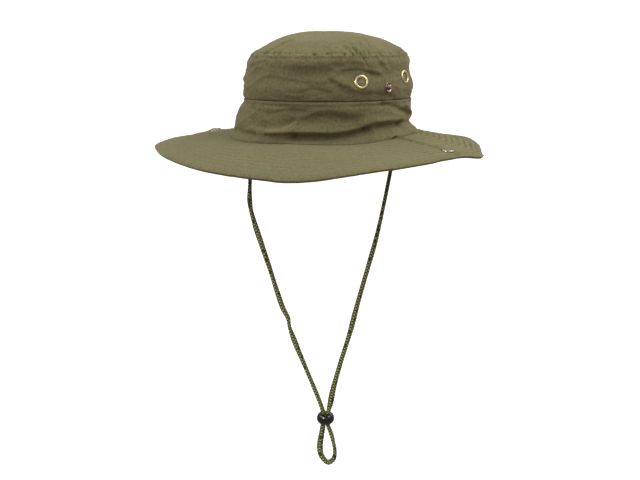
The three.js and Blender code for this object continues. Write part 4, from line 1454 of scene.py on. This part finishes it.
def sewn(name, lines, material):
    """Rows of stitches in one mesh. Each line is (points, normals) along a seam."""
    stitch, stitch_faces = stitch_shape()
    places = []
    for points, normals in lines:
        along = distance_along(points)
        count = int(along[-1] / STITCH_PITCH)
        at = (np.arange(count) + 0.5) * along[-1] / count
        ahead, behind = (read_along(at + step, along, points) for step in (0.5 * MM, -0.5 * MM))
        way = unit(ahead - behind)
        across = unit(np.cross(unit(read_along(at, along, normals)), way))
        up = np.cross(way, across)
        axes = np.stack([way, across, up], axis=1)
        seats = read_along(at, along, points) + up * STITCH_RAISED
        places.append((stitch[None] @ axes + seats[:, None, :]).reshape(-1, 3))
    places = np.concatenate(places)
    starts = np.arange(0, len(places), len(stitch))
    faces = (stitch_faces[None] + starts[:, None, None]).reshape(-1, 3)
    mesh = bpy.data.meshes.new(name)
    mesh.from_pydata(places.tolist(), [], faces.tolist())
    finish_piece(name, mesh, material)


def line_on(face, u, v, u_step, v_step):
    """Points and outward normals along a line of a face(u, v) surface."""
    along_u = face(u + u_step, v) - face(u - u_step, v)
    along_v = face(u, v + v_step) - face(u, v - v_step)
    return face(u, v), unit(np.cross(along_u, along_v))


def band_line(share):
    """A line round the crown's lower wall, at a share of its height."""
    turn = np.linspace(0, 1, 721)
    return line_on(lambda u, v: band_face(u, v)[0], turn, 0 * turn + share, 1e-3, 1e-3)


def brim_line(azimuth, distance, under):
    """A line on the brim's upper face, or on its lower one."""
    points, normals = line_on(lambda d, a: brim_face(a, d)[under], distance, azimuth, 0.003, 0.2)
    return points, -normals if under else normals


def brim_rows(under):
    """The rows of stitching round the brim, from its edge inwards."""
    azimuth = np.linspace(0, 360, 1441)
    reach = brim_at(BRIM_REACHES, azimuth)
    return [brim_line(azimuth, 1 - (ROW_FIRST + k * ROW_PITCH) / reach, under) for k in range(ROW_COUNT)]


def brim_side_lines(under):
    """A row along each side seam, on the front half's turned edge."""
    distance = np.linspace(0.02, 0.97, 60)
    lines = []
    for side, way in ((360, -1), (180, 1)):
        reach = brim_at(BRIM_REACHES, distance * 0 + side)
        turn = np.degrees(np.arcsin(SIDE_STITCHES / (HALF_LONG + reach * distance)))
        lines.append(brim_line(side + way * turn, distance, under))
    return lines


# ---------------------------------------------------------------- the hat

place_camera()
studio()

cord_piece, cord_line, cord_length = chin_cord(cord_material())
bead_piece = sliding_bead(bead_material())

brass = metal_material("pale_brass", rgb(246, 234, 186), 0.3, rgb(206, 188, 134))
nickel = metal_material("nickel_plate", rgb(205, 198, 184), 0.2, rgb(150, 138, 118))
stud_nickel = metal_material("worn_nickel", rgb(178, 163, 152), 0.27, rgb(118, 102, 90))
screen_metal = metal_material("screen_wire", rgb(176, 172, 146), 0.5, rgb(140, 136, 110))
crown_cloth = cloth_material("crown_cotton", OLIVE)
front_cloth = cloth_material("brim_front_cotton", OLIVE)
# the back half's cotton is painted lighter, standing in for the light that falls on it
back_cloth_painted_lighter = cloth_material("brim_back_cotton_painted_lighter", PAINTED_LIGHTER_OLIVE)
thread = thread_material()

# Snap sockets: shift from the construction's place, the azimuth of the side that rides up, and its tilt.
SOCKETS = {"left": ((3.5 * MM, -4.5 * MM), 85, 5.5), "right": ((-6 * MM, -4.6 * MM), 128, 11)}
EYELET_TILT = {("left", "front"): -13, ("left", "back"): -8, ("right", "front"): 4, ("right", "back"): -5}
EYELET_SHIFT, STUD_SHIFT = (0, 0, -0.7 * MM), (0, -1.0 * MM, 1.2 * MM)
EYELET_TOP, STUD_TOP, SOCKET_TOP = 1.1, 3.5, 1.7  # how far each stands over its seat in the construction, mm
EYELET_HOLE, STUD_HOLE = 5.1 * MM, 1.8 * MM  # radius of the hole in the cloth

holes, tilts = [], []
for side in ("left", "right"):
    for vent in ("front", "back"):
        node = f"eyelet_{side}_{vent}"
        seat = on_wall(seat_of(node, EYELET_TOP), EYELET_SHIFT)
        tilt = EYELET_TILT[side, vent]
        turned = Matrix.Rotation(math.radians(tilt), 4, "Z")
        seat = shifted(seat.translation) @ turned @ seat.to_3x3().to_4x4()
        holes.append((seat, EYELET_HOLE))
        tilts.append(tilt)
        eyelet_ring(node, seat, brass)
        woven_screen(node, seat, screen_metal)
    node = f"snap_stud_{side}"
    seat = on_wall(seat_of(node, STUD_TOP), STUD_SHIFT)
    holes.append((seat, STUD_HOLE))
    tilts.append(0)
    snap_stud(node, seat, stud_nickel)
    node = f"snap_socket_{side}"
    snap_socket(node, on_brim(seat_of(node, SOCKET_TOP), *SOCKETS[side]), nickel)
WALL_SEATS.extend((*wall_place(seat.translation), tilt) for (seat, _), tilt in zip(holes, tilts))

# The crown's cloths: name, node, surface, rows, holes, and their size when laid flat.
GIRTH = 2 * math.pi * WALL_RADIUS
CROWN_CLOTHS = [
    ("tip_cloth", "crown_tip", tip_face, 54, (), None),
    ("side_cloth", "crown_side", side_face, 60, holes, (GIRTH * 0.9, 46.3 * MM)),
    ("band_cloth", "crown_band", band_face, 52, (), (GIRTH * 0.97, 36.3 * MM)),
]
for name, node, face, rows, openings, flat_size in CROWN_CLOTHS:
    bm = cloth_wall(CROWN_COLUMNS, rows, face, True, openings, flat_size)
    piece = finish_piece(name, mesh_of(name, bm), crown_cloth, [node])
    soften_edges(piece, CROWN_EDGE)


def brim_half(start):
    """One half of the brim by u along it and v from the edge to the crown: its faces, and the painted light
    on its crests.
    """
    lip = BRIM_LIP / float(np.mean(BRIM_REACHES))

    def place(u, v):
        return start + 180 * mix(u, ramp(u, 0, 1), BRIM_CROWDING), 1 - v * (1 + lip)

    def face(u, v):
        upper, lower = brim_face(*place(u, v))
        for points in (upper, lower):
            points[..., 1] = np.where((u < 1e-6) | (u > 1 - 1e-6), 0.0, points[..., 1])
        return upper, lower

    return face, lambda u, v: brim_puffs(*place(u, v))[1]


for half, cloth, start in (("back", back_cloth_painted_lighter, 0), ("front", front_cloth, 180)):
    name = f"brim_{half}_cloth"
    face, crest_light_paint = brim_half(start)
    bm = cloth_wall(BRIM_COLUMNS, BRIM_RINGS, face, False, crest_light_paint=crest_light_paint)
    piece = finish_piece(name, mesh_of(name, bm), cloth, [f"brim_{half}"])
    soften_edges(piece, BRIM_EDGE)

sewn("middle_seam_stitches", [band_line(1 - TOP_ROW / BAND_TALL)], thread)
sewn("brim_seam_stitches", [band_line(BASE_ROW / BAND_TALL)], thread)
for name, under in (("brim_stitches_upper", False), ("brim_stitches_lower", True)):
    sewn(name, brim_rows(under) + brim_side_lines(under), thread)

visual_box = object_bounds()
boxes = {"cad": cad_box, "visual": visual_box}
{name: [list(corner) for corner in box] for name, box in boxes.items()}
